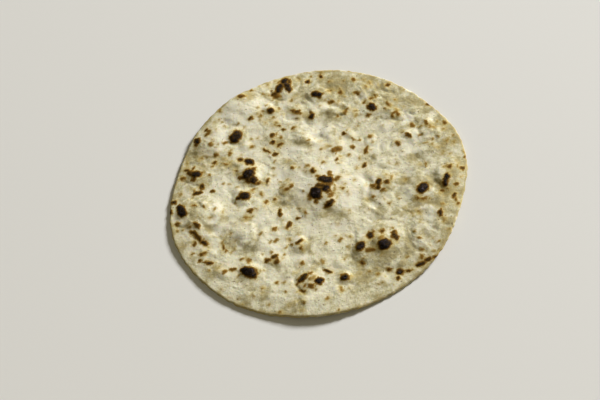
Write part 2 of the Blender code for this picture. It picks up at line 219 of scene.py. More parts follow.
GOLDEN = (
    (-66.5, 65.6, 4.8, 4.2, 90), (-72.6, 55.6, 5.4, 2.2, -35), (-76.2, 55.4, 3.2, 2, 0),
    (-53.4, 54.6, 2.4, 2, 0), (-37.4, 52, 3.8, 3.4, 0), (-60, 48.4, 2.2, 1.8, 0),
    (-39.5, 71.6, 2.4, 2, 0), (-53.6, 95.4, 4.4, 3, 45), (-88.2, 54.4, 5.6, 2.6, 75),
    (-65.5, 26.3, 2.6, 2.3, 0), (-98.8, 28.2, 3.4, 3, 0), (-52.6, -10.7, 4.6, 1.6, 0),
    (-40.2, 6.8, 4.4, 3, 80), (-97.6, -2.8, 3.8, 2.8, 0), (-80.8, -0.4, 2.6, 2.4, 0),
    (-76.8, -24.5, 5.2, 2, 65), (-70.5, -34, 3, 2.4, 60), (-48.6, -27.6, 4.2, 2, 60),
    (-39.4, -37.3, 4.6, 3, 30), (-66.4, -43.9, 4.2, 2, 10), (-84.5, -44.6, 4.6, 2.2, -10),
    (-71.8, -57, 3.2, 2.4, 70), (-42, -73.5, 3.2, 2.4, 0), (-9.3, 79.8, 3.2, 2, 90),
    (-24.4, 78.5, 3.8, 2.6, 80), (-21.8, 82, 3.2, 2.4, 100), (-15.5, 73.2, 2.8, 2.4, 0),
    (-8.4, 92.4, 7.4, 5.6, -20), (-16.9, 56.2, 3.4, 2.4, 80), (2.4, 64.8, 2.5, 2.2, 0),
    (1.8, 84, 3.4, 2.4, 65), (-14.3, 67.3, 2.5, 2.2, 0), (12.2, 103.2, 4.8, 2, 110),
    (-3.8, 105.2, 4.4, 2.6, 30), (-12.5, 106, 2.8, 2.4, 0), (21.8, 102.4, 2.6, 2, 60),
    (30.2, 102.4, 3, 2.4, 60), (32, 82.3, 4.4, 2, 10), (34.3, 91.2, 2.4, 2, 0),
    (41.7, 71.8, 3.4, 2.4, -45), (4.2, 42, 3.4, 2.8, 45), (27.8, 35.2, 2.8, 1.9, 70),
    (-24, 32, 3.8, 3, 70), (-14, 29, 2, 1.6, 0), (12, 30.4, 3.2, 2.2, 0), (17.6, 31, 4.4, 2.6, -35),
    (23.6, 19, 2.8, 2.2, 0), (36.6, 31, 4.2, 2.4, 100), (-2, 19, 3.4, 2.4, 0),
    (-24.4, 6.8, 2.8, 2.5, 0), (32.4, 4.2, 3.6, 2, 95), (-13, -21, 3.4, 2.2, -35),
    (-17.2, -15.5, 4.4, 2, -40), (13.3, -4.6, 5, 2.2, 95), (12, -8.2, 4.6, 2.2, 50),
    (8.4, -12.4, 6.6, 4.6, 30), (-5.4, -51.5, 2.8, 2.2, 0), (-12.2, -66, 5.8, 3.6, 100),
    (29.2, -53.6, 3, 2.4, 0), (33, -60.8, 6, 5, 0), (16, -73.6, 2.8, 2.4, 0),
    (17, -85.4, 3, 2.2, 0), (10.2, -84.8, 2.4, 2.2, 0), (22.4, -89, 3.4, 2.8, 0),
    (-22.2, -76.4, 7, 5, 20), (70.6, 53.2, 7.6, 3.2, 98), (44.8, 51.6, 3.4, 2.8, 0),
    (45.4, 55.6, 3.2, 2.4, 0), (49.2, 28.2, 4.8, 4.2, 80), (49.8, 23, 2.2, 1.9, 0),
    (84.8, 16.2, 4.4, 3.4, 30), (94.6, 20.4, 5.6, 2.6, -35), (87.4, 24, 4.6, 2.2, -15),
    (102.3, 15.6, 2.4, 2.1, 0), (102, 4.6, 4.4, 2, 40), (107.6, 7, 3.4, 2.2, 80),
    (106.6, 1.2, 4.4, 2.4, 60), (109.8, -9.8, 2.4, 1.9, 0), (51.2, -9.2, 3, 2.6, 0),
    (54.2, -13, 3.4, 1.8, 70), (36.8, -25, 3.4, 3, 0), (61.2, -2.9, 2.8, 1.7, 80),
    (85.4, -30, 5, 1.9, 70), (42.6, -55.6, 3.4, 2, 100), (78.6, -61.6, 6.4, 4, 90),
    (45.6, -83.2, 3.4, 1.7, 20), (69.4, -78, 3.4, 2.2, 30), (80, -70.6, 2.6, 2, 0),
    (43.6, -29.6, 2.2, 1.8, 0), (101.8, -20.6, 4.2, 1.8, 70),
)

# How hot each group of marks got, from 0 to 1, and how much that varies. Charred marks narrower
# than the given width in mm lose up to the given burn.
BURNS = {"charred": 1.0, "brown": 0.70, "golden": 0.45}
BURN_SPREAD = {"charred": 0.05, "brown": 0.13, "golden": 0.12}
SMALL_BURN_LOSS = 0.22
SMALL_BURN_WIDTH = 6.5
MARK_SEED = 21

# Seeded marks: (share of the bread's radius that they fill, widths mm, burns). The underside's
# groups have their number in front. They are up to so many times as long as wide.
SPECKS = (1.0, (1.0, 2.2), (0.25, 0.6))
UNDERSIDE_MARKS = (
    (260, 1.0, (1.4, 5.0), (0.25, 0.62)),
    (26, 0.96, (2.5, 7.0), (0.7, 0.98)),
)
MARK_STRETCH = (1.0, 1.6)

# The marks' edges are bent by noises: (shift mm, wave mm). Each takes two seeds, from here on.
RAGGED_EDGES = ((0.8, 4.0), (0.25, 2.2))
UPPER_EDGE_SEED = 51
UNDERSIDE_EDGE_SEED = 53

# Depth inside a mark is in mm, and below 0 outside. No mark is felt at less than the least depth.
# Where marks meet, full heat outweighs this much depth, and it builds up over the edge, this far
# out to this far in.
LEAST_DEPTH = -12.0
HEAT_WEIGHT = 3.0
HEAT_EDGE = 1.4

# A mark's dome begins this far outside its edge, and is as high as if the mark's half width were
# this much more, in mm. Its height is this much for each mm of that. The char's crackle is added.
DOME_SKIRT = 1.2
DOME_EXTRA_WIDTH = 0.4
DOME_STEEPNESS = 0.17
CRACKLE_HEIGHT = 0.16 * MM
TINY = 1e-6

# Broad golden tints: (x mm, y mm, radius mm, strength). Most are toast, but those round the lower
# left of the middle dome are painted warm shade.
TINTS = (
    (-8, 93, 9, 0.7), (-34, 101, 10, 0.6), (-88, 56, 9, 0.5), (-83, -47, 8, 0.7),
    (-22, -77, 10, 0.6), (10, -11, 8, 0.6), (3, 0, 15, 0.35), (22, 27, 12, 0.5),
    (32, -60, 10, 0.45), (108, 4, 11, 0.2), (106, -21, 7, 0.2), (94, -49, 7, 0.4),
    (96, 28, 10, 0.1), (46, -18, 13, 0.25), (-108, -14, 14, 0.6), (-106, 6, 9, 0.2),
    (-84, 44, 13, 0.3), (72, 43, 9, 0.25), (30, -90, 7, 0.4), (54, -88, 9, 0.4), (76, 71, 7, 0.3),
    (-12, -16, 15, 0.45), (2, -28, 13, 0.4), (-16, 2, 11, 0.4), (-74, 45, 15, 0.4),
    (-75, 60, 14, 0.5), (-78, 30, 10, 0.4), (-60, -15, 12, 0.35), (45, 34, 12, 0.15),
    (8, 82, 12, 0.2),
)

# Pale patches, partly floury and partly painted light on slopes turned from the light:
# (x mm, y mm, radius mm, strength).
PALE_AND_LIT_PATCHES = (
    (20, -22, 14, 0.8), (-42, -40, 16, 0.6), (14, 47, 14, 0.9), (-59, 68, 17, 1),
    (-78, -14, 8, 0.9), (-75, 7, 9, 0.8), (52, 20, 13, 0.6), (-14, -34, 13, 0.5),
    (66, -60, 15, 0.5), (-38, 91, 15, 0.6), (84, 78, 11, 0.5), (-100, -24, 8, 0.7),
    (-70, 78, 11, 0.9), (-50, 84, 12, 0.9), (-72, 58, 9, 0.8), (23, -4, 10, 0.7), (-38, 24, 7, 0.6),
    (90, 34, 8, 0.6), (-74, 28, 26, 0.6), (-58, -4, 24, 0.55), (-40, 48, 24, 0.65),
    (-30, 10, 18, 0.4), (0, -60, 20, 0.4), (16, 24, 24, 0.35), (62, -5, 14, 0.35),
    (-30, 22, 13, 0.5), (25, 70, 8, 0.7), (-47, 88, 15.5, 1), (-34, 78, 15.5, 1),
    (-33, 62, 10, 0.8), (-8, 72, 8.5, 0.5), (-1, 66, 8.5, 0.9), (-10, 36, 10, 1), (-24, 20, 14, 1),
    (-3, 15, 9, 1.4), (14, 22, 8.5, 0.5), (30, 14, 8.5, 0.5), (60, 32, 10, 0.8), (80, 34, 10, 1),
    (76, 12, 19.5, 0.7), (64, 12, 10, 0.8), (84, -8, 11, 0.5), (104, -8, 11, 0.6), (38, -20, 11, 1),
    (32, -8, 8.5, 0.9), (63, -32, 10, 1), (70, -46, 12.5, 0.8), (58, -72, 7, 0.7),
    (66, -64, 7, 0.5), (4, -43, 14, 0.9), (18, -62, 8.5, 0.5), (-14, -28, 7, 0.6),
    (-29, -42, 8.5, 0.7), (-28, -58, 8.5, 0.6), (-47, -14, 11, 1), (-58, 14, 11, 0.6),
    (-83, -25, 12.5, 0.8), (-100, -8, 10, 0.9), (-103, 6, 9, 1), (-46, -72, 8.5, 0.9),
    (-45, -48, 7, 0.5), (52, 66, 7, 0.8), (66, 64, 5.5, 0.7), (40, 68, 7, 0.5), (-40, 96, 12.5, 1),
    (-20, 88, 11, 0.6), (-49, 86, 12.5, 0.9), (-28, 74, 10, 0.5), (-12, 86, 7, 0.5),
    (-2, 66, 8.5, 0.7), (11, 58, 7, 0.8), (44, 64, 5.5, 0.6), (52, 68, 5.5, 0.8),
    (66, 66, 5.5, 0.7), (83, 60, 7, 0.5), (16, 22, 11, 0.4), (38, -18, 11, 1), (40, -8, 7, 0.7),
    (35, -32, 8.5, 0.5), (37, 8, 10, 0.5), (-14, -24, 11, 1), (-47, -22, 10, 0.5),
    (-65, -26, 8.5, 0.6), (-90, -18, 11, 0.5), (-101, 8, 7, 0.9), (-94, 32, 8.5, 0.5),
    (70, -54, 11, 0.9), (60, -70, 7, 0.7), (95, 8, 8.5, 0.5), (100, 40, 7, 0.5),
    (-24, -75, 8.5, 0.6), (-28, -60, 8.5, 0.5), (-78, -3, 7, 0.9), (73, -37, 7, 0.8),
    (-7, 82, 7, 0.9), (99, 32, 7, 0.7), (68, 77, 6, 0.6), (-15, -24, 8, 1.3), (2, -34, 12, 0.8),
    (40, -11, 6, 1.3), (-33, -31, 6.5, 0.8), (68, -13, 6, 0.8), (18, -14, 6, 0.8), (4, 0, 44, 0.35),
)

# Dull, olive patches, partly less floured and less baked dough and partly painted shade:
# (x mm, y mm, radius mm, strength).
DULL_AND_SHADE_PATCHES = (
    (-9, -21, 12, 0.7), (-18, -9, 11, 0.6), (4, -32, 11, 0.7), (-25, 2, 9, 0.5), (25, 93, 10, 0.8),
    (-90, 40, 10, 0.7), (62, 76, 36, 0.6), (94, 4, 34, 0.55), (84, 50, 34, 0.65),
    (78, -52, 28, 0.6), (66, -36, 17, 0.6), (60, 20, 24, 0.3), (-76, -24, 12, 0.7),
    (-58, -32, 10, 0.7), (26, 58, 10, 0.7), (12, 90, 12, 0.5), (40, 84, 17, 0.6), (86, 40, 11, 0.6),
    (68, -44, 12, 0.7), (52, -42, 9, 0.5), (79, -22, 7, 0.6), (62, -20, 6, 0.9), (76, -2, 6, 1),
    (14, -76, 12, 0.8), (47, 10, 5, 0.9), (-19, 26, 9, 0.5), (0, 43, 8, 0.9), (-86, 62, 11, 0.6),
    (-96, 34, 9, 0.4), (-20, -5, 7, 0.9), (38, -38, 7, 0.7), (51, -70, 6, 0.6), (62, -66, 5, 0.6),
    (-98, 2, 8, 0.6), (-22, -52, 6, 0.6), (-44, -57, 6, 0.5), (22, 43, 5, 0.7), (-7, 88, 7, 0.4),
    (-80, 36, 14, 1), (-83, 46, 10, 0.8), (-94, 15, 11, 1), (-77, 16, 8.5, 0.5),
    (-66, 40, 8.5, 0.5), (-56, 78, 8.5, 0.7), (-38, 32, 8.5, 0.5), (-49, 13, 7, 0.5),
    (-58, -29, 8.5, 0.9), (-40, -62, 7, 0.5), (-19, -46, 7, 1), (-19, -68, 8.5, 0.9),
    (-12, -52, 11, 0.4), (2, -66, 8.5, 0.6), (30, -78, 15.5, 0.7), (40, -88, 11, 0.9),
    (18, -90, 8.5, 0.7), (22, -86, 7, 0.6), (37, -50, 8.5, 0.5), (53, -46, 8.5, 0.5),
    (80, -28, 12.5, 0.5), (86, -40, 8.5, 0.9), (72, -17, 8, 0.8), (50, -20, 8.5, 0.7),
    (50, -8, 7, 0.5), (72, 0, 7, 1), (97, -25, 7, 0.5), (61, -70, 6.5, 1), (82, -63, 10, 0.6),
    (45, 10, 8.5, 0.5), (70, 48, 11, 0.9), (66, 56, 8.5, 0.7), (62, 76, 8.5, 0.9), (56, 84, 7, 0.8),
    (90, 33, 8.5, 0.9), (25, 42, 7, 0.7), (17, 62, 8.5, 1), (34, 60, 5.5, 0.9), (25, 86, 8.5, 0.9),
    (22, 76, 5.5, 0.8), (10, 102, 10, 0.8), (20, 95, 8.5, 0.6), (-18, 52, 7, 0.9),
    (2, 49, 8.5, 0.9), (-27, 102, 10, 0.8), (-36, 101, 8.5, 0.8), (-42, 68, 7, 0.9),
    (12, -15, 5.5, 0.6), (-1, -28, 6.5, 1), (-23, -32, 5.5, 0.5), (-83, -18, 5.5, 0.6),
    (85, -34, 8, 1.2), (78, -48, 8, 0.9), (74, 46, 11, 0.9), (70, 62, 11, 0.9), (92, 34, 11, 0.8),
    (63, 40, 10, 0.6), (56, 80, 8.5, 0.7), (24, 90, 11, 0.8), (103, -12, 7, 0.9), (73, -45, 8.5, 1),
    (62, -60, 7, 0.6), (50, -78, 8.5, 0.7), (10, -18, 8.5, 0.7), (2, 47, 10, 0.9),
    (16, 62, 8.5, 0.9), (35, 60, 7, 0.8), (-18, 52, 8.5, 0.6), (-80, 37, 12, 1.2),
    (-84, 50, 11, 0.8), (-96, 12, 10, 0.8), (-73, -4, 7, 0.7), (-80, -32, 8.5, 0.6),
    (-57, -29, 8.5, 0.8), (-33, -8, 7, 0.2), (-84, -10, 7, 0.8), (-18, -48, 10, 0.9),
    (-17, -56, 8.5, 0.6), (4, -64, 11, 0.6), (16, -80, 8.5, 0.6), (-76, 14, 10, 0.5),
    (-42, 70, 7, 0.6), (64, 59, 7, 0.9), (4, -86, 6, 0.8), (2, 49, 6, 1.4), (-16, 50, 9, 1.1),
    (-90, 31, 6, 0.8), (3, 38, 6, 0.9), (104, 22, 26, 0.5),
)

# ---------------------------------------------------------------- the crust's fine relief

# Soft low forms of the upper face alone, raised or sunk: (x mm, y mm, radius mm, height mm).
LOW_FORMS = (
    (-30, -9, 13, -0.7), (-17, -27, 14, -0.8), (-9, -3, 13, 0.6), (-1, -15, 13, 0.7),
    (11, -24, 11, 0.7), (8, -68, 10, -0.6), (3, 47, 11, 0.4), (72, -29, 17, -0.9),
    (45, -15, 15, -0.7), (-53, 86, 16, 0.9), (-78, 34, 14, -0.4), (26, -84, 11, -0.6),
    (-26, 22, 12, 0.4), (-27, -3, 11, 0.4), (80, -22, 10, 0.7), (39, -34, 8, 0.6),
    (-50, 83, 10, 0.4),
)

# Blisters with a crease round their foot: (x mm, y mm, radius mm, depth mm). The groove's width,
# and how far inside it the raised shoulder lies and how wide that is, are in mm.
CREASED_FEET = (
    (70.5, -35.5, 11, 0.26), (70, -35, 17, 0.28), (47, -16, 14, 0.15), (-63, -26, 14, 0.36),
    (22, 43, 6.5, 0.40), (-24, -46, 8, 0.40), (91, 22, 7, 0.40), (75, 70, 7, 0.35),
    (59, 56, 9, 0.30), (22, 81, 9, 0.40), (-22, -77, 12, 0.32), (30, -64, 20, 0.18),
    (2, 72, 9, 0.30), (13, 63, 7, 0.35), (48, 26, 6, 0.30), (72, 42, 8, 0.35), (-45, 27, 13, 0.35),
    (-53, 9, 9, 0.30), (-47, 66, 9, 0.30), (0, 99, 12, 0.40), (5, -7, 27, 0.20),
    (-98, 10, 12, 0.35), (85, 62, 9, 0.30), (92, 42, 9, 0.30), (35, 63, 8, 0.35),
    (-12, 92, 9, 0.30), (-84, 42, 11, 0.30), (64, 14, 10, 0.25),
)
FOOT_WIDTH = 1.3
FOOT_SHOULDER = 3.0
FOOT_SHOULDER_WIDTH = 1.5 * FOOT_WIDTH
FOOT_SHOULDER_SHARE = 0.5
FOOT_BEND = 1.4

# Where the dough was stretched into fine wrinkles: (x mm, y mm, reach mm, direction deg, wave mm).
# A wrinkle is this many times longer than it is wide.
WRINKLES = (
    (62, 72, 34, 100, 4.2), (28, 60, 26, -48, 6.5), (56, -72, 26, -72, 4.6), (92, 14, 30, 78, 4.6),
    (-96, -6, 24, 110, 6), (4, 84, 20, 20, 5),
)
WRINKLE_LENGTH = 3.2
WRINKLE_SEED = 36

# Noises, each (wave mm, seed). The crumple's and the grain's have their share of its height first.
RIDGE_NOISE = (17.0, 31)
CRUMPLE_NOISES = ((0.9, (9.0, 32)), (0.45, (4.6, 33)))
GRAIN_NOISES = ((1.0, (2.4, 34)), (0.6, (1.3, 35)))
CREASE_NOISES = ((15.0, 37), (9.0, 39))
CREASE_PATCH_WAVE = 26.0
FOOT_BEND_NOISES = ((12.0, 43), (12.0, 44))
FOOT_BREAK_NOISE = (15.0, 45)
CRACKLE_NOISE = (2.2, 52)
RIM_SHAPE_NOISE = (4.0, 54)
UNDERSIDE_TONE_NOISE = (20.0, 56)
EDGE_TONE_NOISE = (9.0, 57)
RIM_TONE_NOISE = (3.5, 58)

# What is patchy covers smooth_step(level + swing * noise) of the crust: (level, swing).
FOOT_COVER = (0.7, 1.4)
CREASE_COVER = (0.5, 2.0)
EDGE_COVER = (0.5, 1.3)
RIM_COVER = (0.6, 1.0)

# Ridges run where a noise is 0. They reach a level there, and fall by this times the noise's size.
RIDGE_LEVEL = 1.0
WRINKLE_LEVEL = 0.7
RIDGE_FALL = 2.0

# The width in mm, across, of the creases that wander over the crust.
CREASE_WIDTH = 2.0

# Tiny blisters: seed, widths in mm, strengths, and height as a share of the width.
PIMPLE_SEED = 41
PIMPLE_WIDTHS = (2.0, 4.6)
PIMPLE_STRENGTHS = (0.25, 1.0)
PIMPLE_STEEPNESS = 0.09

# The underside's dimples: (depth mm, (wave mm, seed), gain, cut). They fade out near the rim.
PITS = ((0.30, (11.0, 61), 1.6, 0.1), (0.22, (4.4, 62), 1.8, 0.2))
PIT_MARGIN = 6.0 * MM

# The share of the fine relief that is left at the rim, and that the thickest flour takes away.
FINE_AT_RIM = 0.4
FLOUR_SMOOTHING = 0.45

# With its relief, the dough keeps this share of its least thickness.
RELIEF_THINNEST = 0.8

# Rows of faces round the rim's half-round profile, and how much its bulge varies.
RIM_ROWS = 6
RIM_RAGGEDNESS = 0.45

# Widths of the bands along the rim that are toned like the edge, above and below.
EDGE_BAND = 4.0 * MM
UNDERSIDE_EDGE_BAND = 5.0 * MM

# The fields where no patch sets them. The first number is the level, the second how much a noise
# adds, and the underside's third what its edge adds. Thicker dough counts as raised by this share.
EDGE_TINT = 0.6
EDGE_DULL = 0.5
RIM_TINT = 0.5
# The rim's dull tone is partly painted shade, which darkens the rim where the key light catches it.
RIM_DULL = (0.65, 0.3)
RIM_RAISED = 0.4
UNDERSIDE_TINT = (0.28, 0.25, 0.3)
UNDERSIDE_DULL = 0.3
THICKNESS_RAISED = 0.35

# Soft noise repeats after this many waves, and the gain brings it to about -1 to 1. A soft size is
# rounded off near 0, over about this much.
NOISE_LATTICE = 256
NOISE_GAIN = 1.6
SOFT_SIZE_TURN = 0.15

# ---------------------------------------------------------------- the crust's shader

# Noises of the shader by name: (size mm, detail, roughness).
SHADER_NOISES = {
    "broad": (24.0, 3.0, 0.5),
    "middle": (12.0, 2.0, 0.5),
    "patchy": (6.5, 4.0, 0.6),
    "ragged": (2.4, 3.0, 0.6),
    "fine": (1.3, 3.0, 0.65),
    "powder": (0.6, 2.0, 0.7),
    "halo_gaps": (11.0, 1.0, 0.5),
    "pores": (2.1, 1.0, 0.5),
    "cracks": (1.1, 4.0, 0.7),
}

# Noises of all sizes look alike round their common origin. It shows on a face that lies level with
# it, so the underside takes its noise from this far away.
NOISE_SHIFT = (1.37, 0.83, 0.59)

# The fields that the crust's colours and bump are worked out from.
SHADER_FIELDS = ("mark_inside", "mark_burn", "tint", "pale", "dull", "raised")

# What each value adds up from: (noise or field, weight). In the tone, the raised field's weight
# paints shade into the hollows, and the pale and dull patches paint light and shade.
TONE = (
    ("broad", 1.3),
    ("middle", 1.4),
    ("patchy", 2.1),
    ("ragged", 0.9),
    ("fine", 0.7),
    ("raised", -0.35),
    ("pale", -0.80),
    ("tint", 0.30),
    ("dull", 0.95),
)
# The flour's raised weight is partly painted light on the raised places.
FLOUR = (("pale", 0.5), ("raised", 0.25), ("powder", 0.6), ("tone", -0.17))
EDGE = (("mark_inside", 1.0), ("ragged", 3.0), ("fine", 1.6))
EDGE_LEVEL = 2.36
BUMP = (("patchy", 0.9), ("ragged", 0.6), ("fine", 0.45), ("powder", 0.10))
ROUGHNESS = (("dryness", 1.0), ("fine", 0.3))
ROUGHNESS_LEVEL = 0.15

# Smooth S curves: (low, high, value below low, value above high).
RAMPS = {
    "wheat": (2.86, 3.64, 0.0, 1.0),
    "tan": (3.32, 4.05, 0.0, 1.0),
    "flour": (-0.08, 0.36, 0.0, 0.85),
    "halo": (-3.4, -0.5, 0.0, 1.0),
    "halo_gaps": (0.42, 0.6, 0.25, 1.0),
    "tint_patches": (0.3, 0.65, 0.35, 1.0),
    "sharp_edge": (-1.6, 1.6, 0.0, 1.0),
    "soft_edge": (-1.9, 2.1, 0.0, 1.0),
    "sharpness": (0.5, 0.9, 0.0, 1.0),
    "fine_heat": (0.3, 0.62, 1.10, 0.84),
    "patchy_heat": (0.45, 0.72, 1.0, 0.86),
    "toast_share": (0.0, 0.30, 0.0, 1.0),
    "burnt": (0.82, 0.97, 0.0, 1.0),
    "bloom": (0.46, 0.60, 0.0, 1.0),
    "bloom_depth": (0.8, 2.6, 0.0, 1.0),
    "bloom_patches": (0.40, 0.55, 0.1, 0.75),
    "pores": (0.70, 0.76, 0.0, 0.6),
    "dryness": (0.3, 0.95, 0.85, 0.42),
    "flour_bump": (0.0, 1.0, 1.0, 0.6),
}

# How much of the gold's colour a golden place takes, and the power of the burn that its halo has.
GOLD_STRENGTH = 0.66
HALO_POWER = 0.6

# The toast's colours by heat: (heat, colour, how much lighter or darker than the setting).
TOAST = (
    (0.0, "gold", 1.0),
    (0.18, "gold", 0.74),
    (0.42, "brown", 1.35),
    (0.62, "brown", 0.66),
    (0.80, "brown", 0.26),
    (0.92, "char", 1.0),
)

# Numbers that are the same all over the crust.
SHADER_SETTINGS = {
    "Specular IOR Level": 0.05,
    "Subsurface Weight": 0.4,
    "Subsurface Radius": (1.0, 0.72, 0.3),
    "Subsurface Scale": 2.5 * MM,
}
BUMP_STRENGTH = 0.8
BUMP_DISTANCE = 0.6 * MM

# Where nodes stand in the editor.
NODE_STEP = (220.0, -260.0)
NODES_IN_ROW = 12

# ---------------------------------------------------------------- the stage

# The floor lies just under the bread. The camera looks at the aim.
FLOOR_SIZE = 6.0
FLOOR_GAP = 0.15 * MM
FLOOR_ROUGHNESS = 0.9
AIM = (-14.4 * MM, -8.7 * MM, TABLE_LEVEL)
SENSOR_WIDTH = 36.0

# Square lights: edge and place in metres, and colour.
KEY_LIGHT = {"size": 1.6, "place": (6.4, 3.3, 3.1), "colour": (0.965, 0.975, 1.0)}
FILL_LIGHT = {"size": 1.2, "place": (-0.8, -0.9, 1.1), "colour": (1.0, 0.93, 0.74)}
SKY_COLOUR = (1.0, 0.915, 0.62, 1.0)

# What like settings share.
LENGTH = {"subtype": "DISTANCE", "unit": "LENGTH"}
ANGLE = {"subtype": "ANGLE", "unit": "ROTATION"}
POWER = {"subtype": "POWER", "unit": "POWER"}
COLOUR = {"size": 3, "min": 0.0, "max": 1.0, "subtype": "COLOR"}


def linear(red, green, blue):
    """A colour given as 0 to 255 screen values, as the linear values that shaders take."""
    screen = np.array([red, green, blue]) / 255.0
    return tuple(np.where(screen <= 0.04045, screen / 12.92, ((screen + 0.055) / 1.055) ** 2.4))


# ---------------------------------------------------------------- settings


class RotiBreadSettings(PropertyGroup):
    """Sizes of the bread."""

    radius: FloatProperty(
        name="Radius",
        description="Mean radius of the bread's outline",
        default=110.2 * MM,
        min=60.0 * MM,
        max=160.0 * MM,
        **LENGTH,
    )
    thickness: FloatProperty(
        name="Dough thickness",
        description="Thickness of the plain dough between its blisters",
        default=3.0 * MM,
        min=1.5 * MM,
        max=8.0 * MM,
        **LENGTH,
    )
    thinnest: FloatProperty(
        name="Thinnest dough",
        description="The dough is nowhere thinner than this, before its fine relief",
        default=1.5 * MM,
        min=0.5 * MM,
        max=3.0 * MM,
        **LENGTH,
    )
    rim_band: FloatProperty(
        name="Rim band",
        description="Width of the band in which the dough thins towards the rim",
        default=16.0 * MM,
        min=2.0 * MM,
        max=40.0 * MM,
        **LENGTH,
    )
    rim_thinning: FloatProperty(
        name="Rim thinning",
        description="How much thinner the dough is at the rim",
        default=0.9 * MM,
        min=0.0,
        max=2.0 * MM,
        **LENGTH,
    )
    rim_relief: FloatProperty(
        name="Relief at the rim",
        description="Share of the blisters' height that is left at the rim",
        default=0.25,
        min=0.0,
        max=1.0,
        subtype="FACTOR",
    )
    edge: FloatProperty(
        name="Edge radius",
        description="How far the rounded edge reaches out past the flat of the rim",
        default=1.4 * MM,
        min=0.5 * MM,
        max=4.0 * MM,
        **LENGTH,
    )
    crumple: FloatProperty(
        name="Crumple height",
        description="Height of the soft, finger-wide unevenness of the crust",
        default=0.30 * MM,
        min=0.0,
        max=1.0 * MM,
        **LENGTH,
    )
    grain: FloatProperty(
        name="Grain height",
        description="Height of the finest unevenness that the mesh holds",
        default=0.08 * MM,
        min=0.0,
        max=0.3 * MM,
        **LENGTH,
    )
    wrinkle: FloatProperty(
        name="Wrinkle height",
        description="Height of the wrinkles where the dough was stretched",
        default=0.28 * MM,
        min=0.0,
        max=1.5 * MM,
        **LENGTH,
    )
    crease: FloatProperty(
        name="Crease depth",
        description="Depth of the thin creases that wander over the crust",
        default=0.13 * MM,
        min=0.0,
        max=1.5 * MM,
        **LENGTH,
    )
    pimples: IntProperty(
        name="Pimples",
        description="Number of tiny blisters scattered over the upper face",
        default=420,
        min=0,
        max=2000,
    )
    specks: IntProperty(
        name="Specks",
        description="Number of small toasted specks scattered over the upper face",
        default=300,
        min=0,
        max=1000,
    )
    cells: IntProperty(
        name="Upper cells",
        description="Cells across the upper face's grid, an even number; the lower face has half",
        default=270,
        min=60,
        max=272,
        step=2,
    )


class RotiCrustSettings(PropertyGroup):
    """Colours of the crust."""

    cream: FloatVectorProperty(
        name="Cream",
        description="Colour of the plain baked dough",
        default=linear(225, 219, 190),
        **COLOUR,
    )
    wheat: FloatVectorProperty(
        name="Wheat",
        description="Colour of the dough where it is thin or less floured",
        default=linear(192, 183, 145),
        **COLOUR,
    )
    tan: FloatVectorProperty(
        name="Tan",
        description="Colour of the dough where it has just begun to toast",
        default=linear(163, 150, 108),
        **COLOUR,
    )
    flour: FloatVectorProperty(
        name="Flour",
        description="Colour of the dusting of flour",
        default=linear(235, 230, 207),
        **COLOUR,
    )
    gold: FloatVectorProperty(
        name="Gold",
        description="Colour of the lightest toast",
        default=linear(198, 174, 105),
        **COLOUR,
    )
    brown: FloatVectorProperty(
        name="Brown",
        description="Colour of the toasted spots",
        default=linear(116, 84, 31),
        **COLOUR,
    )
    char: FloatVectorProperty(
        name="Char",
        description="Colour of the burnt spots",
        default=linear(15, 7, 1),
        **COLOUR,
    )
    # The ash colour is partly ash and partly a painted glint of light on the largest burnt blisters.
    ash_and_glint: FloatVectorProperty(
        name="Ash",
        description="Colour of the grey bloom on the largest burnt blisters",
        default=linear(84, 74, 80),
        **COLOUR,
    )


class RotiStageSettings(PropertyGroup):
    """The floor, the lights and the camera."""

    floor: FloatVectorProperty(
        name="Floor",
        description="Colour of the plain floor",
        default=linear(226, 224, 219),
        **COLOUR,
    )
    key_power: FloatProperty(
        name="Key light",
        description="Power of the large soft light behind the bread, to its right",
        default=1120.0,
        min=0.0,
        max=5000.0,
        **POWER,
    )
    fill_power: FloatProperty(
        name="Fill light",
        description="Power of the wide light in front of the bread, to its left",
        default=1.5,
        min=0.0,
        max=200.0,
        **POWER,
    )
    sky: FloatProperty(
        name="Sky",
        description="Strength of the even light from all round",
        default=0.16,
        min=0.0,
        max=5.0,
    )
    elevation: FloatProperty(
        name="Camera elevation",
        description="How steeply the camera looks down on the bread",
        default=TABLE_ELEVATION,
        min=0.0,
        max=math.radians(90.0),
        **ANGLE,
    )
    roll: FloatProperty(
        name="Camera roll",
        description="How far the camera is turned about its own line of sight",
        default=math.radians(-16.97),
        min=math.radians(-180.0),
        max=math.radians(180.0),
        **ANGLE,
    )
    distance: FloatProperty(
        name="Camera distance",
        description="Distance from the camera to the place it looks at",
        default=1032.5 * MM,
        min=0.2,
        max=5.0,
        **LENGTH,
    )
    lens: FloatProperty(
        name="Camera lens",
        description="Focal length of the camera",
        default=85.0,
        min=10.0,
        max=300.0,
        subtype="DISTANCE_CAMERA",
        unit="CAMERA",
    )


# ---------------------------------------------------------------- fields over the bread


def smooth_step(value):
    """0 below 0, 1 above 1, and between them a smooth S, three squares less two cubes."""
    t = np.clip(value, 0.0, 1.0)
    return t * t * (3.0 - 2.0 * t)


def mound(distance, radius):
    """A smooth round mound: 1 in the middle, 0 at its radius and beyond.

    It is the square of one less the square of the distance in radii.
    """
    q = np.clip(distance / radius, 0.0, 1.0)
    return (1.0 - q * q) ** 2


def bell(value):
    """A bell curve: e to the power of minus the value's square."""
    return np.exp(-(value**2))


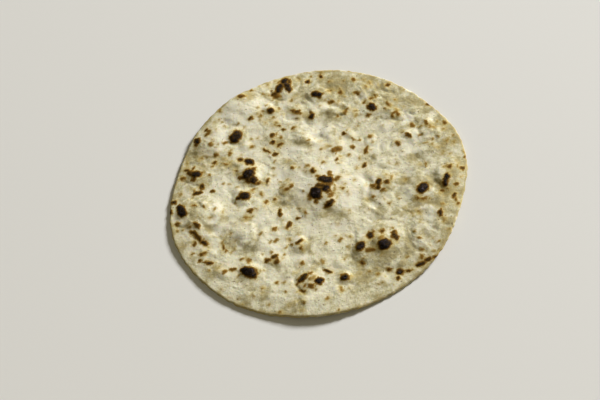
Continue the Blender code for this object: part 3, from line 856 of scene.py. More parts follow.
def soft_noise(x, y, noise):
    """Smooth noise of about -1 to 1: seeded slopes on a square lattice, blended by S curves.

    The noise is (wave mm, seed). At each lattice point a seeded direction gives a plane through 0.
    A place's value is the four planes around it, blended by its position in the lattice's cell.
    """
    wave, seed = noise
    draw = np.random.default_rng(seed)
    direction = draw.uniform(0.0, 2.0 * math.pi, (NOISE_LATTICE, NOISE_LATTICE))
    across = x / (wave * MM)
    along = y / (wave * MM)
    column = np.floor(across).astype(int)
    row = np.floor(along).astype(int)
    in_x = across - column
    in_y = along - row

    def plane(step_x, step_y):
        angle = direction[(column + step_x) % NOISE_LATTICE, (row + step_y) % NOISE_LATTICE]
        return (in_x - step_x) * np.cos(angle) + (in_y - step_y) * np.sin(angle)

    blend_x = smooth_step(in_x)
    blend_y = smooth_step(in_y)
    low = plane(0, 0) * (1.0 - blend_x) + plane(1, 0) * blend_x
    high = plane(0, 1) * (1.0 - blend_x) + plane(1, 1) * blend_x
    return NOISE_GAIN * (low * (1.0 - blend_y) + high * blend_y)


def soft_size(value):
    """The size of a value without its sign, rounded off near 0."""
    return np.sqrt(value**2 + SOFT_SIZE_TURN**2) - SOFT_SIZE_TURN


def ridges(noise, level):
    """Rounded ridges where a noise is 0: the level there, less the fall times the noise's size."""
    return level - RIDGE_FALL * soft_size(noise)


def cover(noise, level, swing):
    """A patchy share of 0 to 1: a smooth step of the level plus the swing times a noise."""
    return smooth_step(level + swing * noise)


def outline_radius(angle, bread):
    """The bread's radius in each direction: the mean radius plus a few cosines of the direction."""
    radius = np.full_like(angle, bread.radius)
    for waves, height, phase in OUTLINE_WOBBLES:
        radius += height * MM * np.cos(waves * angle - math.radians(phase))
    return radius


def outline_middle(bread):
    """The middle of the outline's box, which is the part's origin."""
    angle = np.linspace(0.0, 2.0 * math.pi, OUTLINE_STEPS)
    radius = outline_radius(angle, bread)
    x = radius * np.cos(angle)
    y = radius * np.sin(angle)
    return (x.min() + x.max()) / 2.0, (y.min() + y.max()) / 2.0


def wander(x, y):
    """Shifts x by sines of y and y by sines of x, a little, so that no form is a true circle."""
    shift_x = np.zeros_like(x)
    shift_y = np.zeros_like(y)
    for shift, wave, phase in WANDER:
        turns = 2.0 * math.pi / (wave * MM)
        shift_x += shift * MM * np.sin(turns * y + phase)
        shift_y += shift * MM * np.sin(turns * x + 2.0 * phase)
    return x + shift_x, y + shift_y


def distance_from(x, y, middle_x, middle_y):
    """How far each place is from a middle given in mm."""
    return np.hypot(x - middle_x * MM, y - middle_y * MM)


def round_forms(x, y, forms):
    """The height of a list of round mounds, added up."""
    height = np.zeros_like(x)
    for middle_x, middle_y, radius, rise in forms:
        height += rise * MM * mound(distance_from(x, y, middle_x, middle_y), radius * MM)
    return height


def strength_field(x, y, patches):
    """A list of round patches of strength, the strongest at each place."""
    field = np.zeros_like(x)
    for middle_x, middle_y, radius, strength in patches:
        patch = strength * mound(distance_from(x, y, middle_x, middle_y), radius * MM)
        field = np.maximum(field, patch)
    return field


def fold_forms(x, y):
    """The height of the long folds: a mound of the distance from each fold's line.

    Along the line, a fold's height rises and falls as half a sine wave from its share at the ends.
    """
    height = np.zeros_like(x)
    for start_x, start_y, end_x, end_y, half_width, rise in FOLDS:
        along_x = end_x - start_x
        along_y = end_y - start_y
        length_squared = along_x**2 + along_y**2
        share = ((x / MM - start_x) * along_x + (y / MM - start_y) * along_y) / length_squared
        share = np.clip(share, 0.0, 1.0)
        near_x = (start_x + share * along_x) * MM
        near_y = (start_y + share * along_y) * MM
        taper = FOLD_END_SHARE + (1.0 - FOLD_END_SHARE) * np.sin(math.pi * share)
        distance = np.hypot(x - near_x, y - near_y)
        height += rise * MM * taper * mound(distance, half_width * MM)
    return height


def small_blisters(bread):
    """Seeded small blisters, (x, y, radius, height) in mm, spaced apart and off the large ones."""
    draw = random.Random(SMALL_BLISTER_SEED)
    reach = bread.radius / MM - SMALL_BLISTER_RADIUS[1]
    placed = []
    while len(placed) < SMALL_BLISTER_COUNT:
        angle = draw.uniform(0.0, 2.0 * math.pi)
        distance = reach * math.sqrt(draw.random())
        radius = draw.uniform(*SMALL_BLISTER_RADIUS)
        rise = draw.uniform(*SMALL_BLISTER_HEIGHT)
        x = distance * math.cos(angle)
        y = distance * math.sin(angle)
        near_small = any(math.hypot(x - p[0], y - p[1]) < SMALL_BLISTER_SPACING for p in placed)
        near_large = any(
            math.hypot(x - b[0], y - b[1]) < SMALL_BLISTER_CLEARANCE * b[2] for b in BLISTERS
        )
        if not near_small and not near_large:
            placed.append((x, y, radius, rise))
    return placed


def underside_height(x, y, angle, reach):
    """How far the underside is off the surface: exactly 0 where the bread touches it.

    The rim's lifts are bell curves of the direction times a smooth step of the reach, and the
    swells are mounds. What is left of their sum above the sink is lifted, and starts as a parabola.
    """
    lift = np.zeros_like(x)
    for direction, spread, rise in RIM_LIFTS:
        turn = angle - math.radians(direction)
        turn = np.arctan2(np.sin(turn), np.cos(turn))
        lift += rise * MM * bell(turn / math.radians(spread))
    lift *= smooth_step((reach - LIFT_STARTS_AT) / (1.0 - LIFT_STARTS_AT))
    lift += round_forms(x, y, SWELLS)
    above = np.clip(lift - CONTACT_SINK, 0.0, None)
    soft_turn = above**2 / (2.0 * CONTACT_SOFTNESS)
    return np.where(above < CONTACT_SOFTNESS, soft_turn, above - CONTACT_SOFTNESS / 2.0)


def dough_thickness(x, y, from_rim, bread):
    """The bread's thickness: the dough, its domes, blisters, hollows and folds, thinner at the rim.

    A smooth step of the distance from the rim brings in both the dough's thickness and the relief.
    """
    at_x, at_y = wander(x, y)
    relief = round_forms(at_x, at_y, DOMES)
    relief += round_forms(at_x, at_y, BLISTERS)
    relief += round_forms(at_x, at_y, small_blisters(bread))
    relief -= round_forms(at_x, at_y, HOLLOWS)
    relief += fold_forms(at_x, at_y)
    inward = smooth_step(from_rim / bread.rim_band)
    relief *= bread.rim_relief + (1.0 - bread.rim_relief) * inward
    thickness = bread.thickness - bread.rim_thinning * (1.0 - inward) + relief
    return np.maximum(thickness, bread.thinnest)


# ---------------------------------------------------------------- marks


def scattered_marks(count, seed, radius, widths, burns):
    """Seeded small marks over a disc: (x, y, length, width, turn, burn)."""
    draw = random.Random(seed)
    marks = []
    for _ in range(count):
        angle = draw.uniform(0.0, 2.0 * math.pi)
        distance = radius / MM * math.sqrt(draw.random())
        width = widths[0] + (widths[1] - widths[0]) * draw.random() ** 2
        length = width * draw.uniform(*MARK_STRETCH)
        turn = draw.uniform(0.0, 180.0)
        burn = draw.uniform(*burns)
        x = distance * math.cos(angle)
        y = distance * math.sin(angle)
        marks.append((x, y, length, width, turn, burn))
    return marks


def upper_marks(bread):
    """The upper face's marks, each with its burn, and the seeded specks between them."""
    draw = random.Random(MARK_SEED)
    marks = []
    for group, places in (("charred", CHARRED), ("brown", BROWN), ("golden", GOLDEN)):
        for place in places:
            spread = BURN_SPREAD[group]
            burn = BURNS[group] + draw.uniform(-spread, spread)
            if group == "charred":
                width = place[3]
                burn -= SMALL_BURN_LOSS * max(0.0, 1.0 - width / SMALL_BURN_WIDTH)
            marks.append((*place, burn))
    share, widths, burns = SPECKS
    return marks + scattered_marks(bread.specks, MARK_SEED + 1, bread.radius * share, widths, burns)


def lower_marks(bread):
    """The underside's marks: many small toasted spots, a few of them dark."""
    marks = []
    for seed, (count, share, widths, burns) in enumerate(UNDERSIDE_MARKS, MARK_SEED + 2):
        marks += scattered_marks(count, seed, bread.radius * share, widths, burns)
    return marks


def mark_fields(x, y, marks, seed):
    """Three fields: how far inside the strongest mark a place is, in mm, its burn, and its rise.

    The places are first shifted by soft noise, so that the edges are ragged. A mark is an ellipse,
    and the depth inside its edge is k (1 - k) / m, where k is the place's length in units of the
    half axes, and m the same in units of their squares. The strongest mark is the one with the
    most heat there, and where none has any, the nearest.
    """
    ragged_x = x / MM
    ragged_y = y / MM
    for number, (shift, wave) in enumerate(RAGGED_EDGES):
        ragged_x += shift * soft_noise(x, y, (wave, seed + 2 * number))
        ragged_y += shift * soft_noise(x, y, (wave, seed + 2 * number + 1))
    inside = np.full_like(x, LEAST_DEPTH)
    best = np.full_like(x, LEAST_DEPTH)
    burn = np.zeros_like(x)
    rise = np.zeros_like(x)
    for middle_x, middle_y, length, width, turn, strength in marks:
        cosine = math.cos(math.radians(turn))
        sine = math.sin(math.radians(turn))
        half_length = length / 2.0
        half_width = width / 2.0
        far_x = ragged_x - middle_x
        far_y = ragged_y - middle_y
        along = (far_x * cosine + far_y * sine) / half_length
        across = (far_y * cosine - far_x * sine) / half_width
        k = np.hypot(along, across)
        m = np.hypot(along / half_length, across / half_width)
        depth = k * (1.0 - k) / np.maximum(m, TINY)
        warmth = smooth_step((depth + HEAT_EDGE) / (2.0 * HEAT_EDGE))
        score = np.minimum(depth, 1.0) + HEAT_WEIGHT * strength * warmth
        stronger = score > best
        best = np.where(stronger, score, best)
        inside = np.where(stronger, depth, inside)
        burn = np.where(stronger, strength, burn)
        dome = smooth_step((depth + DOME_SKIRT) / (half_width + DOME_SKIRT))
        rise = np.maximum(rise, dome * (half_width + DOME_EXTRA_WIDTH) * strength)
    return inside, burn, rise


# ---------------------------------------------------------------- fine relief


def foot_creases(x, y):
    """The creases at the feet of the larger blisters: broken rings with a raised inner shoulder.

    Across a ring, the groove and the shoulder are bell curves. Noise bends the rings and breaks
    them off in places.
    """
    bent_x, bent_y = wander(x, y)
    bent_x += FOOT_BEND * MM * soft_noise(x, y, FOOT_BEND_NOISES[0])
    bent_y += FOOT_BEND * MM * soft_noise(x, y, FOOT_BEND_NOISES[1])
    some = cover(soft_noise(x, y, FOOT_BREAK_NOISE), *FOOT_COVER)
    height = np.zeros_like(x)
    for middle_x, middle_y, radius, depth in CREASED_FEET:
        outside = distance_from(bent_x, bent_y, middle_x, middle_y) / MM - radius
        groove = bell(outside / FOOT_WIDTH)
        shoulder = bell((outside + FOOT_SHOULDER) / FOOT_SHOULDER_WIDTH)
        height += depth * MM * (FOOT_SHOULDER_SHARE * shoulder - groove)
    return height * some


def crumple(x, y):
    """Soft unevenness of about -2 to 2: the ridges of a broad noise, plus two finer noises."""
    height = ridges(soft_noise(x, y, RIDGE_NOISE), RIDGE_LEVEL)
    for share, noise in CRUMPLE_NOISES:
        height += share * soft_noise(x, y, noise)
    return height


def grain(x, y):
    """The finest unevenness that the mesh holds: two noises."""
    return sum(share * soft_noise(x, y, noise) for share, noise in GRAIN_NOISES)


def wrinkles(x, y):
    """Fine wrinkles in round areas: the ridges of a noise that is stretched along them."""
    height = np.zeros_like(x)
    for middle_x, middle_y, reach, turn, wave in WRINKLES:
        cosine = math.cos(math.radians(turn))
        sine = math.sin(math.radians(turn))
        along = x * cosine + y * sine
        across = y * cosine - x * sine
        stretched = soft_noise(across, along / WRINKLE_LENGTH, (wave, WRINKLE_SEED))
        near = mound(distance_from(x, y, middle_x, middle_y), reach * MM)
        height += near * ridges(stretched, WRINKLE_LEVEL)
    return height


def creases(x, y):
    """Thin creases of depth 0 to 1: bell curves beside the lines where a noise is 0, in patches."""
    depth = np.zeros_like(x)
    for wave, seed in CREASE_NOISES:
        level = soft_noise(x, y, (wave, seed))
        some = cover(soft_noise(x, y, (CREASE_PATCH_WAVE, seed + 1)), *CREASE_COVER)
        depth += some * bell(level * wave / CREASE_WIDTH)
    return depth


def pimples(x, y, bread):
    """The height of tiny seeded blisters, added up."""
    scattered = scattered_marks(
        bread.pimples, PIMPLE_SEED, bread.radius, PIMPLE_WIDTHS, PIMPLE_STRENGTHS
    )
    forms = [
        (middle_x, middle_y, width / 2.0, strength * PIMPLE_STEEPNESS * width)
        for middle_x, middle_y, _, width, _, strength in scattered
    ]
    return round_forms(x, y, forms)


def crust_relief(x, y, bread):
    """The upper crust's fine relief: low forms, crumple, creased feet, grain, wrinkles, pimples."""
    height = round_forms(x, y, LOW_FORMS)
    height += bread.crumple * crumple(x, y)
    height += foot_creases(x, y)
    height += bread.grain * grain(x, y)
    height += bread.wrinkle * wrinkles(x, y)
    height -= bread.crease * creases(x, y)
    height += pimples(x, y, bread)
    return height


def underside_pits(x, y):
    """How deep the underside is pitted: shallow dimples of steam, never below 0."""
    depth = np.zeros_like(x)
    for deepest, noise, gain, cut in PITS:
        depth += deepest * MM * smooth_step(gain * soft_noise(x, y, noise) - cut)
    return depth


# ---------------------------------------------------------------- the bread's mesh


def disc_grid(cells):
    """Unit-disc places of a square grid of two parameters, and its triangles, facing up.

    Each parameter runs from -1 to 1, and shrinks by the root of one less half the other's square,
    so that the square's sides meet the circle. Cells are split along the diagonal that points
    away from the middle.
    """
    steps = np.linspace(-1.0, 1.0, cells + 1)
    first, second = np.meshgrid(steps, steps, indexing="ij")
    disc_x = first * np.sqrt(1.0 - second**2 / 2.0)
    disc_y = second * np.sqrt(1.0 - first**2 / 2.0)
    number = np.arange((cells + 1) ** 2).reshape(cells + 1, cells + 1)
    near = number[:-1, :-1].ravel()
    right = number[1:, :-1].ravel()
    left = number[:-1, 1:].ravel()
    far = number[1:, 1:].ravel()
    middle = (np.arange(cells) + 0.5) / cells - 0.5
    outward = (middle[:, None] * middle[None, :] > 0.0).ravel()
    one = np.stack([near, right, np.where(outward, far, left)], axis=1)
    two = np.stack([np.where(outward, near, right), far, left], axis=1)
    return disc_x.ravel(), disc_y.ravel(), np.concatenate([one, two])


def grid_border(cells):
    """The numbers of a grid's border vertices, once round, anticlockwise."""
    number = np.arange((cells + 1) ** 2).reshape(cells + 1, cells + 1)
    return np.concatenate(
        [number[:-1, 0], number[-1, :-1], number[:0:-1, -1], number[0, :0:-1]]
    )


def band(inner, outer):
    """Triangles between two closed rows of the same number of vertices."""
    inner_next = np.roll(inner, -1)
    outer_next = np.roll(outer, -1)
    one = np.stack([inner, outer, outer_next], axis=1)
    two = np.stack([inner, outer_next, inner_next], axis=1)
    return np.concatenate([one, two])


def halving_band(fine, coarse):
    """Triangles between a closed row and one of half as many vertices."""
    here = fine[0::2]
    between = fine[1::2]
    after = np.roll(here, -1)
    coarse_next = np.roll(coarse, -1)
    one = np.stack([coarse, between, here], axis=1)
    two = np.stack([coarse, coarse_next, between], axis=1)
    three = np.stack([coarse_next, after, between], axis=1)
    return np.concatenate([one, two, three])


def place_on_bread(disc_x, disc_y, bread):
    """Where unit-disc places lie on the bread: x, y, direction, reach and distance from the rim.

    A place's reach, its share of the outline's radius in its direction, is its distance from the
    disc's middle, less what the rounded edge takes, which the rim's own rows fill.
    """
    share = np.hypot(disc_x, disc_y)
    angle = np.arctan2(disc_y, disc_x)
    rim = outline_radius(angle, bread)
    reach = share * (1.0 - bread.edge / rim)
    middle_x, middle_y = outline_middle(bread)
    x = reach * rim * np.cos(angle) - middle_x
    y = reach * rim * np.sin(angle) - middle_y
    return x, y, angle, reach, rim * (1.0 - reach)


def upper_face(bread):
    """The upper face: the underside's height plus the dough, the fine relief and the marks' domes.

    Marks, patches and relief are set by `seen`: how far back a place stands before the tables'
    level plane. Something higher by h stands farther back there by h over the tangent of the
    tables' angle.
    """
    disc_x, disc_y, faces = disc_grid(bread.cells)
    x, y, angle, reach, from_rim = place_on_bread(disc_x, disc_y, bread)
    under = underside_height(x, y, angle, reach)
    thickness = dough_thickness(x, y, from_rim, bread)
    seen = y + (under + thickness - TABLE_LEVEL) / math.tan(TABLE_ELEVATION)

    inside, burn, rise = mark_fields(x, seen, upper_marks(bread), UPPER_EDGE_SEED)
    # The pale patches paint light as well as flour, and the dull patches paint shade as well as
    # less-baked dough.
    pale = strength_field(x, seen, PALE_AND_LIT_PATCHES)
    inward = smooth_step(from_rim / bread.rim_band)
    fine = crust_relief(x, seen, bread) * (FINE_AT_RIM + (1.0 - FINE_AT_RIM) * inward)
    fine *= 1.0 - FLOUR_SMOOTHING * pale
    dome = DOME_STEEPNESS * MM * rise
    crackle = CRACKLE_HEIGHT * soft_noise(x, y, CRACKLE_NOISE) * smooth_step(inside) * burn
    top = under + np.maximum(thickness + fine + dome + crackle, RELIEF_THINNEST * bread.thinnest)

    edge_tone = cover(soft_noise(x, y, EDGE_TONE_NOISE), *EDGE_COVER)
    at_edge = edge_tone * smooth_step(1.0 - from_rim / EDGE_BAND)
    fields = {
        "mark_inside": inside,
        "mark_burn": burn,
        "tint": np.maximum(strength_field(x, seen, TINTS), EDGE_TINT * at_edge),
        "pale": pale,
        "dull": np.maximum(strength_field(x, seen, DULL_AND_SHADE_PATCHES), EDGE_DULL * at_edge),
        "raised": (fine + dome + (thickness - bread.thickness) * THICKNESS_RAISED) / MM,
        "underside": np.zeros_like(x),
    }
    face = SimpleNamespace(x=x, y=y, z=top, faces=faces, fields=fields)
    face.under = under
    face.angle = angle
    face.seen = seen
    face.edge_tone = edge_tone
    return face


def rim_face(bread, upper, border):
    """The rim's rows of vertices: a half ellipse from the upper border to the lower one.

    It is as high as the dough is thick there, and its bulge varies with a noise.
    """
    x = upper.x[border]
    y = upper.y[border]
    top = upper.z[border]
    under = upper.under[border]
    angle = upper.angle[border]
    bulge = bread.edge * (1.0 + RIM_RAGGEDNESS * soft_noise(x, y, RIM_SHAPE_NOISE))
    turn = math.pi * (0.5 - np.arange(1, RIM_ROWS)[:, None] / RIM_ROWS)
    outward = bulge * np.cos(turn)
    rim_x = (x + outward * np.cos(angle)).ravel()
    rim_y = (y + outward * np.sin(angle)).ravel()
    rim_z = ((top + under) / 2.0 + (top - under) / 2.0 * np.sin(turn)).ravel()

    rows = RIM_ROWS - 1
    seen = rim_y + np.tile(upper.seen[border] - y, rows)
    inside, burn, _ = mark_fields(rim_x, seen, upper_marks(bread), UPPER_EDGE_SEED)
    tone = soft_noise(rim_x, rim_y, RIM_TONE_NOISE)
    fields = {
        "mark_inside": inside,
        "mark_burn": burn,
        "tint": RIM_TINT * np.tile(upper.edge_tone[border], rows) * cover(tone, *RIM_COVER),
        "pale": np.zeros_like(rim_x),
        "dull": RIM_DULL[0] + RIM_DULL[1] * tone,
        "raised": RIM_RAISED * tone,
        "underside": np.zeros_like(rim_x),
    }
    return SimpleNamespace(x=rim_x, y=rim_y, z=rim_z, fields=fields)


def lower_face(bread):
    """The lower face: the underside's height, with its dimples, on half as many cells."""
    disc_x, disc_y, faces = disc_grid(bread.cells // 2)
    x, y, angle, reach, from_rim = place_on_bread(disc_x, disc_y, bread)
    height = underside_height(x, y, angle, reach)
    height += underside_pits(x, y) * smooth_step(from_rim / PIT_MARGIN)
    inside, burn, _ = mark_fields(x, y, lower_marks(bread), UNDERSIDE_EDGE_SEED)
    tone = soft_noise(x, y, UNDERSIDE_TONE_NOISE)
    at_edge = smooth_step(1.0 - from_rim / UNDERSIDE_EDGE_BAND)
    level, swing, edge_gain = UNDERSIDE_TINT
    fields = {
        "mark_inside": inside,
        "mark_burn": burn,
        "tint": level + swing * tone + edge_gain * at_edge,
        "pale": np.zeros_like(x),
        "dull": np.full_like(x, UNDERSIDE_DULL),
        "raised": np.zeros_like(x),
        "underside": np.ones_like(x),
    }
    return SimpleNamespace(x=x, y=y, z=height, faces=faces[:, ::-1], fields=fields)


def bread_surface(bread):
    """All vertices, triangles and fields of the bread: its upper face, its rim, its lower face."""
    upper = upper_face(bread)
    border = grid_border(bread.cells)
    rim = rim_face(bread, upper, border)
    lower = lower_face(bread)

    rim_start = len(upper.x)
    lower_start = rim_start + len(rim.x)
    rows = [border, *np.split(rim_start + np.arange(len(rim.x)), RIM_ROWS - 1)]
    faces = [upper.faces]
    faces += [band(inner, outer) for inner, outer in zip(rows, rows[1:])]
    faces.append(halving_band(rows[-1], lower_start + grid_border(bread.cells // 2)))
    faces.append(lower_start + lower.faces)

    pieces = (upper, rim, lower)
    corners = [np.concatenate([getattr(piece, axis) for piece in pieces]) for axis in "xyz"]
    fields = {
        name: np.concatenate([piece.fields[name] for piece in pieces]) for name in upper.fields
    }
    return np.stack(corners, axis=1), np.concatenate(faces), fields


def mesh_object(name, vertices, triangles, fields):
    """A smooth mesh object at the origin, with one number field per vertex attribute."""
    mesh = bpy.data.meshes.new(name)
    mesh.from_pydata(vertices, [], triangles)
    for field, values in fields.items():
        attribute = mesh.attributes.new(field, "FLOAT", "POINT")
        attribute.data.foreach_set("value", values.astype(np.float32))
    mesh.shade_smooth()
    mesh.update()
    made = bpy.data.objects.new(name, mesh)
    bpy.context.scene.collection.objects.link(made)
    return made


# ---------------------------------------------------------------- the crust's material


class NodeDesk:
    """Adds nodes to one material and links them, laid out from left to right."""

    def __init__(self, material):
        material.use_nodes = True
        self.tree = material.node_tree
        self.tree.nodes.clear()
        self.made = 0

    def add(self, kind, **settings):
        """Adds a node of a kind, and sets its settings."""
        node = self.tree.nodes.new(kind)
        column = self.made % NODES_IN_ROW
        row = self.made // NODES_IN_ROW
        node.location = (NODE_STEP[0] * column, NODE_STEP[1] * row)
        self.made += 1
        for name, value in settings.items():
            setattr(node, name, value)
        return node

    def feed(self, socket, value):
        """Links an output to a socket, or sets the socket to a number or a colour."""
        if isinstance(value, bpy.types.NodeSocket):
            self.tree.links.new(value, socket)
        else:
            socket.default_value = value

    def attribute(self, name):
        """One of the bread's fields."""
        return self.add("ShaderNodeAttribute", attribute_name=name).outputs["Fac"]

    def noise(self, place, name):
        """One of the shader's noises, of about 0 to 1."""
        size, detail, roughness = SHADER_NOISES[name]
        node = self.add("ShaderNodeTexNoise")
        self.feed(node.inputs["Vector"], place)
        node.inputs["Scale"].default_value = 1.0 / (size * MM)
        node.inputs["Detail"].default_value = detail
        node.inputs["Roughness"].default_value = roughness
        return node.outputs["Fac"]

    def maths(self, operation, *values, clamp=False):
        """An operation on some numbers or outputs."""
        node = self.add("ShaderNodeMath", operation=operation, use_clamp=clamp)
        for socket, value in zip(node.inputs, values):
            self.feed(socket, value)
        return node.outputs[0]

    def product(self, first, *others):
        """All values multiplied, from left to right."""
        for other in others:
            first = self.maths("MULTIPLY", first, other)
        return first

    def weighed(self, values, weights):
        """The sum of some of the named values, each times its own weight."""
        total = 0.0
        for name, weight in weights:
            total = self.maths("MULTIPLY_ADD", values[name], weight, total)
        return total

    def ramp(self, value, name):
        """One of the named smooth S curves of a value."""
        node = self.add("ShaderNodeMapRange", interpolation_type="SMOOTHSTEP")
        for socket, number in zip(node.inputs, (value, *RAMPS[name])):
            self.feed(socket, number)
        return node.outputs[0]

    def mix_values(self, share, first, second):
        """Two numbers mixed."""
        node = self.add("ShaderNodeMix", data_type="FLOAT")
        for number, value in ((0, share), (2, first), (3, second)):
            self.feed(node.inputs[number], value)
        return node.outputs[0]

    def mix(self, share, first, second, blend="MIX"):
        """Two colours mixed; each is an output or a setting's red, green and blue."""
        node = self.add("ShaderNodeMix", data_type="RGBA", blend_type=blend)
        self.feed(node.inputs[0], share)
        for socket, colour in ((node.inputs[6], first), (node.inputs[7], second)):
            output = isinstance(colour, bpy.types.NodeSocket)
            self.feed(socket, colour if output else (*colour, 1.0))
        return node.outputs[2]


def noise_place(desk):
    """Object coordinates, moved far off on the underside."""
    moved = desk.add("ShaderNodeVectorMath", operation="MULTIPLY_ADD")
    desk.feed(moved.inputs[0], desk.maths("GREATER_THAN", desk.attribute("underside"), 0.5))
    desk.feed(moved.inputs[1], NOISE_SHIFT)
    desk.feed(moved.inputs[2], desk.add("ShaderNodeTexCoord").outputs["Object"])
    return moved.outputs["Vector"]


def dough_colour(desk, crust, values):
    """Cream dough, wheat and tan where the tone is higher, with flour on its pale, raised places. The
    tone also paints shade into hollows and dull patches, and light onto pale ones.
    """
    tone = desk.weighed(values, TONE)
    values["tone"] = tone
    dough = desk.mix(desk.ramp(tone, "wheat"), crust.cream, crust.wheat)
    dough = desk.mix(desk.ramp(tone, "tan"), dough, crust.tan)
    return desk.mix(desk.ramp(desk.weighed(values, FLOUR), "flour"), dough, crust.flour)


def golden_share(desk, values, edge):
    """How golden the dough is: the tint in patches, or the halo round a mark, with gaps."""
    halo = desk.product(
        desk.ramp(edge, "halo"),
        desk.maths("POWER", values["mark_burn"], HALO_POWER),
        desk.ramp(values["halo_gaps"], "halo_gaps"),
    )
    patches = desk.product(values["tint"], desk.ramp(values["patchy"], "tint_patches"))
    return desk.product(desk.maths("MAXIMUM", patches, halo), GOLD_STRENGTH)


def mark_heat(desk, values, edge):
    """The heat inside the marks: their burn, with a sharper edge the more they are burnt."""
    sharpness = desk.ramp(values["mark_burn"], "sharpness")
    heat = desk.mix_values(sharpness, desk.ramp(edge, "soft_edge"), desk.ramp(edge, "sharp_edge"))
    return desk.product(
        heat,
        values["mark_burn"],
        desk.ramp(values["fine"], "fine_heat"),
        desk.ramp(values["patchy"], "patchy_heat"),
    )


def toast_colour(desk, crust, heat):
    """The toast's colour by heat, from gold over brown to char."""
    toast = desk.add("ShaderNodeValToRGB")
    elements = toast.color_ramp.elements
    while len(elements) < len(TOAST):
        elements.new(0.5)
    for element, (position, name, level) in zip(elements, TOAST):
        element.position = position
        element.color = (*(level * part for part in getattr(crust, name)), 1.0)
    desk.feed(toast.inputs["Fac"], heat)
    return toast.outputs["Color"]


def ash_and_glint_share(desk, values, burnt):
    """How much grey bloom lies on the char, partly ash and partly a painted glint: ragged, in patches,
    away from the mark's edge.
    """
    return desk.product(
        desk.ramp(values["ragged"], "bloom"),
        desk.ramp(values["mark_inside"], "bloom_depth"),
        desk.ramp(values["patchy"], "bloom_patches"),
        burnt,
    )


def crust_bump(desk, values, burnt):
    """The normal of the finest relief: noise, softer under flour, and cracks in the char."""
    height = desk.product(desk.weighed(values, BUMP), desk.ramp(values["pale"], "flour_bump"))
    cracks = desk.product(values["cracks"], burnt)
    bump = desk.add("ShaderNodeBump")
    bump.inputs["Strength"].default_value = BUMP_STRENGTH
    bump.inputs["Distance"].default_value = BUMP_DISTANCE
    desk.feed(bump.inputs["Height"], desk.maths("ADD", height, cracks))
    return bump.outputs["Normal"]


def crust_material(crust):
    """Baked dough: cream, mottled and floured, toasted and charred where the fields say so, with painted
    light and shade in its patches and hollows, and painted glints on the char.
    """
    material = bpy.data.materials.new("baked_crust")
    desk = NodeDesk(material)
    place = noise_place(desk)
    values = {name: desk.attribute(name) for name in SHADER_FIELDS}
    values.update({name: desk.noise(place, name) for name in SHADER_NOISES})

    surface = dough_colour(desk, crust, values)
    edge = desk.maths("SUBTRACT", desk.weighed(values, EDGE), EDGE_LEVEL)
    surface = desk.mix(golden_share(desk, values, edge), surface, crust.gold)
    heat = mark_heat(desk, values, edge)
    surface = desk.mix(desk.ramp(heat, "toast_share"), surface, toast_colour(desk, crust, heat))
    burnt = desk.ramp(heat, "burnt")
    # Grey bloom on the char: partly ash, partly a painted glint.
    surface = desk.mix(ash_and_glint_share(desk, values, burnt), surface, crust.ash_and_glint)
    surface = desk.mix(desk.ramp(values["pores"], "pores"), surface, crust.brown, blend="MULTIPLY")

    values["dryness"] = desk.ramp(heat, "dryness")
    roughness = desk.weighed(values, ROUGHNESS)
    shader = desk.add("ShaderNodeBsdfPrincipled")
    desk.feed(shader.inputs["Base Color"], surface)
    desk.feed(
        shader.inputs["Roughness"],
        desk.maths("SUBTRACT", roughness, ROUGHNESS_LEVEL, clamp=True),
    )
    desk.feed(shader.inputs["Normal"], crust_bump(desk, values, burnt))
    for name, value in SHADER_SETTINGS.items():
        shader.inputs[name].default_value = value
    output = desk.add("ShaderNodeOutputMaterial")
    desk.feed(output.inputs["Surface"], shader.outputs["BSDF"])
    return material


# ---------------------------------------------------------------- the stage


def look_from(direction, up, place):
    """A placement matrix that looks back along direction, towards where it comes from."""
    back = direction.normalized()
    right = up.cross(back).normalized()
    turned = Matrix((right, back.cross(right), back)).transposed().to_4x4()
    turned.translation = place
    return turned


def add_floor(colour):
    """A plain square floor just under the bread."""
    half = FLOOR_SIZE / 2.0
    mesh = bpy.data.meshes.new("floor")
    corners = [(-half, -half), (half, -half), (half, half), (-half, half)]
    mesh.from_pydata([(x, y, -FLOOR_GAP) for x, y in corners], [], [(0, 1, 2, 3)])
    floor = bpy.data.objects.new("floor", mesh)
    bpy.context.scene.collection.objects.link(floor)
    paint = bpy.data.materials.new("floor_paint")
    paint.use_nodes = True
    shader = paint.node_tree.nodes["Principled BSDF"]
    shader.inputs["Base Color"].default_value = (*colour, 1.0)
    shader.inputs["Roughness"].default_value = FLOOR_ROUGHNESS
    mesh.materials.append(paint)


def add_soft_light(name, power, size, place, colour):
    """A square area light that looks at the bread."""
    light = bpy.data.lights.new(name, "AREA")
    light.energy = power
    light.size = size
    light.color = colour
    lamp = bpy.data.objects.new(name, light)
    bpy.context.scene.collection.objects.link(lamp)
    lamp.matrix_world = look_from(Vector(place), Vector((0.0, 0.0, 1.0)), Vector(place))


def add_sky(strength):
    """Even, faintly warm light from all round."""
    world = bpy.data.worlds.new("sky")
    bpy.context.scene.world = world
    world.use_nodes = True
    background = world.node_tree.nodes["Background"]
    background.inputs["Color"].default_value = SKY_COLOUR
    background.inputs["Strength"].default_value = strength


def add_camera(stage):
    """The camera, at its elevation and distance in front of the aim, turned by its roll."""
    back = Vector((0.0, -math.cos(stage.elevation), math.sin(stage.elevation)))
    level = Vector((1.0, 0.0, 0.0))
    up = back.cross(level) * math.cos(stage.roll) - level * math.sin(stage.roll)
    camera = bpy.data.objects.new("camera", bpy.data.cameras.new("camera"))
    camera.data.lens = stage.lens
    camera.data.sensor_width = SENSOR_WIDTH
    camera.matrix_world = look_from(back, up, Vector(AIM) + back * stage.distance)
    bpy.context.scene.collection.objects.link(camera)
    bpy.context.scene.camera = camera


# ---------------------------------------------------------------- operators and panel


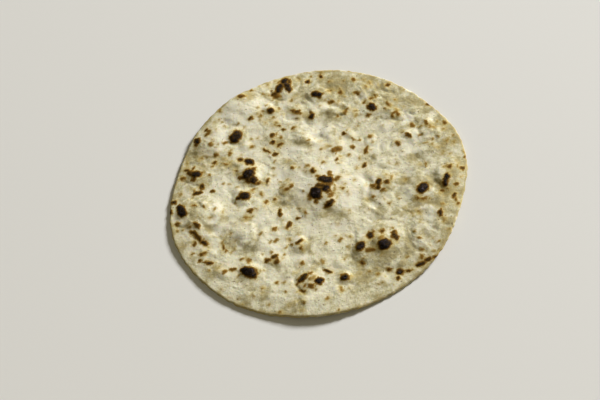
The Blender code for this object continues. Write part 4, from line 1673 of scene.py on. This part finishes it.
class ROTI_OT_add_bread(Operator):
    """Makes the bread with its crust, and lets it stand for the CAD's solid"""

    bl_idname = "roti.add_bread"
    bl_label = "Add bread"
    bl_options = {"REGISTER", "UNDO"}

    def execute(self, context):
        settings = context.scene.roti_bread
        if CAD_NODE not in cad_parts:
            raise RuntimeError("the frame has no node named " + CAD_NODE)
        if settings.cells % 2:
            raise RuntimeError("the upper face needs an even number of cells")
        bread = mesh_object("baked_roti", *bread_surface(settings))
        bread.data.materials.append(crust_material(context.scene.roti_crust))
        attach(bread, BODY)
        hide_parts(CAD_NODE)
        return {"FINISHED"}


class ROTI_OT_add_stage(Operator):
    """Makes the plain floor, the soft lights and the camera"""

    bl_idname = "roti.add_stage"
    bl_label = "Add stage"
    bl_options = {"REGISTER", "UNDO"}

    def execute(self, context):
        stage = context.scene.roti_stage
        add_floor(stage.floor)
        add_soft_light("key_light", stage.key_power, **KEY_LIGHT)
        add_soft_light("fill_light", stage.fill_power, **FILL_LIGHT)
        add_sky(stage.sky)
        context.scene.view_settings.view_transform = "Standard"
        add_camera(stage)
        return {"FINISHED"}


class ROTI_PT_panel(Panel):
    """The roti's settings and its two buttons"""

    bl_idname = "ROTI_PT_panel"
    bl_label = "Tandoori roti"
    bl_space_type = "VIEW_3D"
    bl_region_type = "UI"
    bl_category = "Roti"

    def draw(self, context):
        for title, group, operator in (
            ("Bread", context.scene.roti_bread, ROTI_OT_add_bread),
            ("Crust", context.scene.roti_crust, None),
            ("Stage", context.scene.roti_stage, ROTI_OT_add_stage),
        ):
            box = self.layout.box()
            box.label(text=title)
            for name in group.__annotations__:
                box.prop(group, name)
            if operator:
                box.operator(operator.bl_idname)


CLASSES = (
    RotiBreadSettings,
    RotiCrustSettings,
    RotiStageSettings,
    ROTI_OT_add_bread,
    ROTI_OT_add_stage,
    ROTI_PT_panel,
)


def register():
    for made in CLASSES:
        bpy.utils.register_class(made)
    bpy.types.Scene.roti_bread = PointerProperty(type=RotiBreadSettings)
    bpy.types.Scene.roti_crust = PointerProperty(type=RotiCrustSettings)
    bpy.types.Scene.roti_stage = PointerProperty(type=RotiStageSettings)


def unregister():
    del bpy.types.Scene.roti_bread
    del bpy.types.Scene.roti_crust
    del bpy.types.Scene.roti_stage
    for made in reversed(CLASSES):
        bpy.utils.unregister_class(made)


def main():
    register()
    bpy.ops.roti.add_bread()
    bpy.ops.roti.add_stage()


if __name__ == "__main__":
    main()
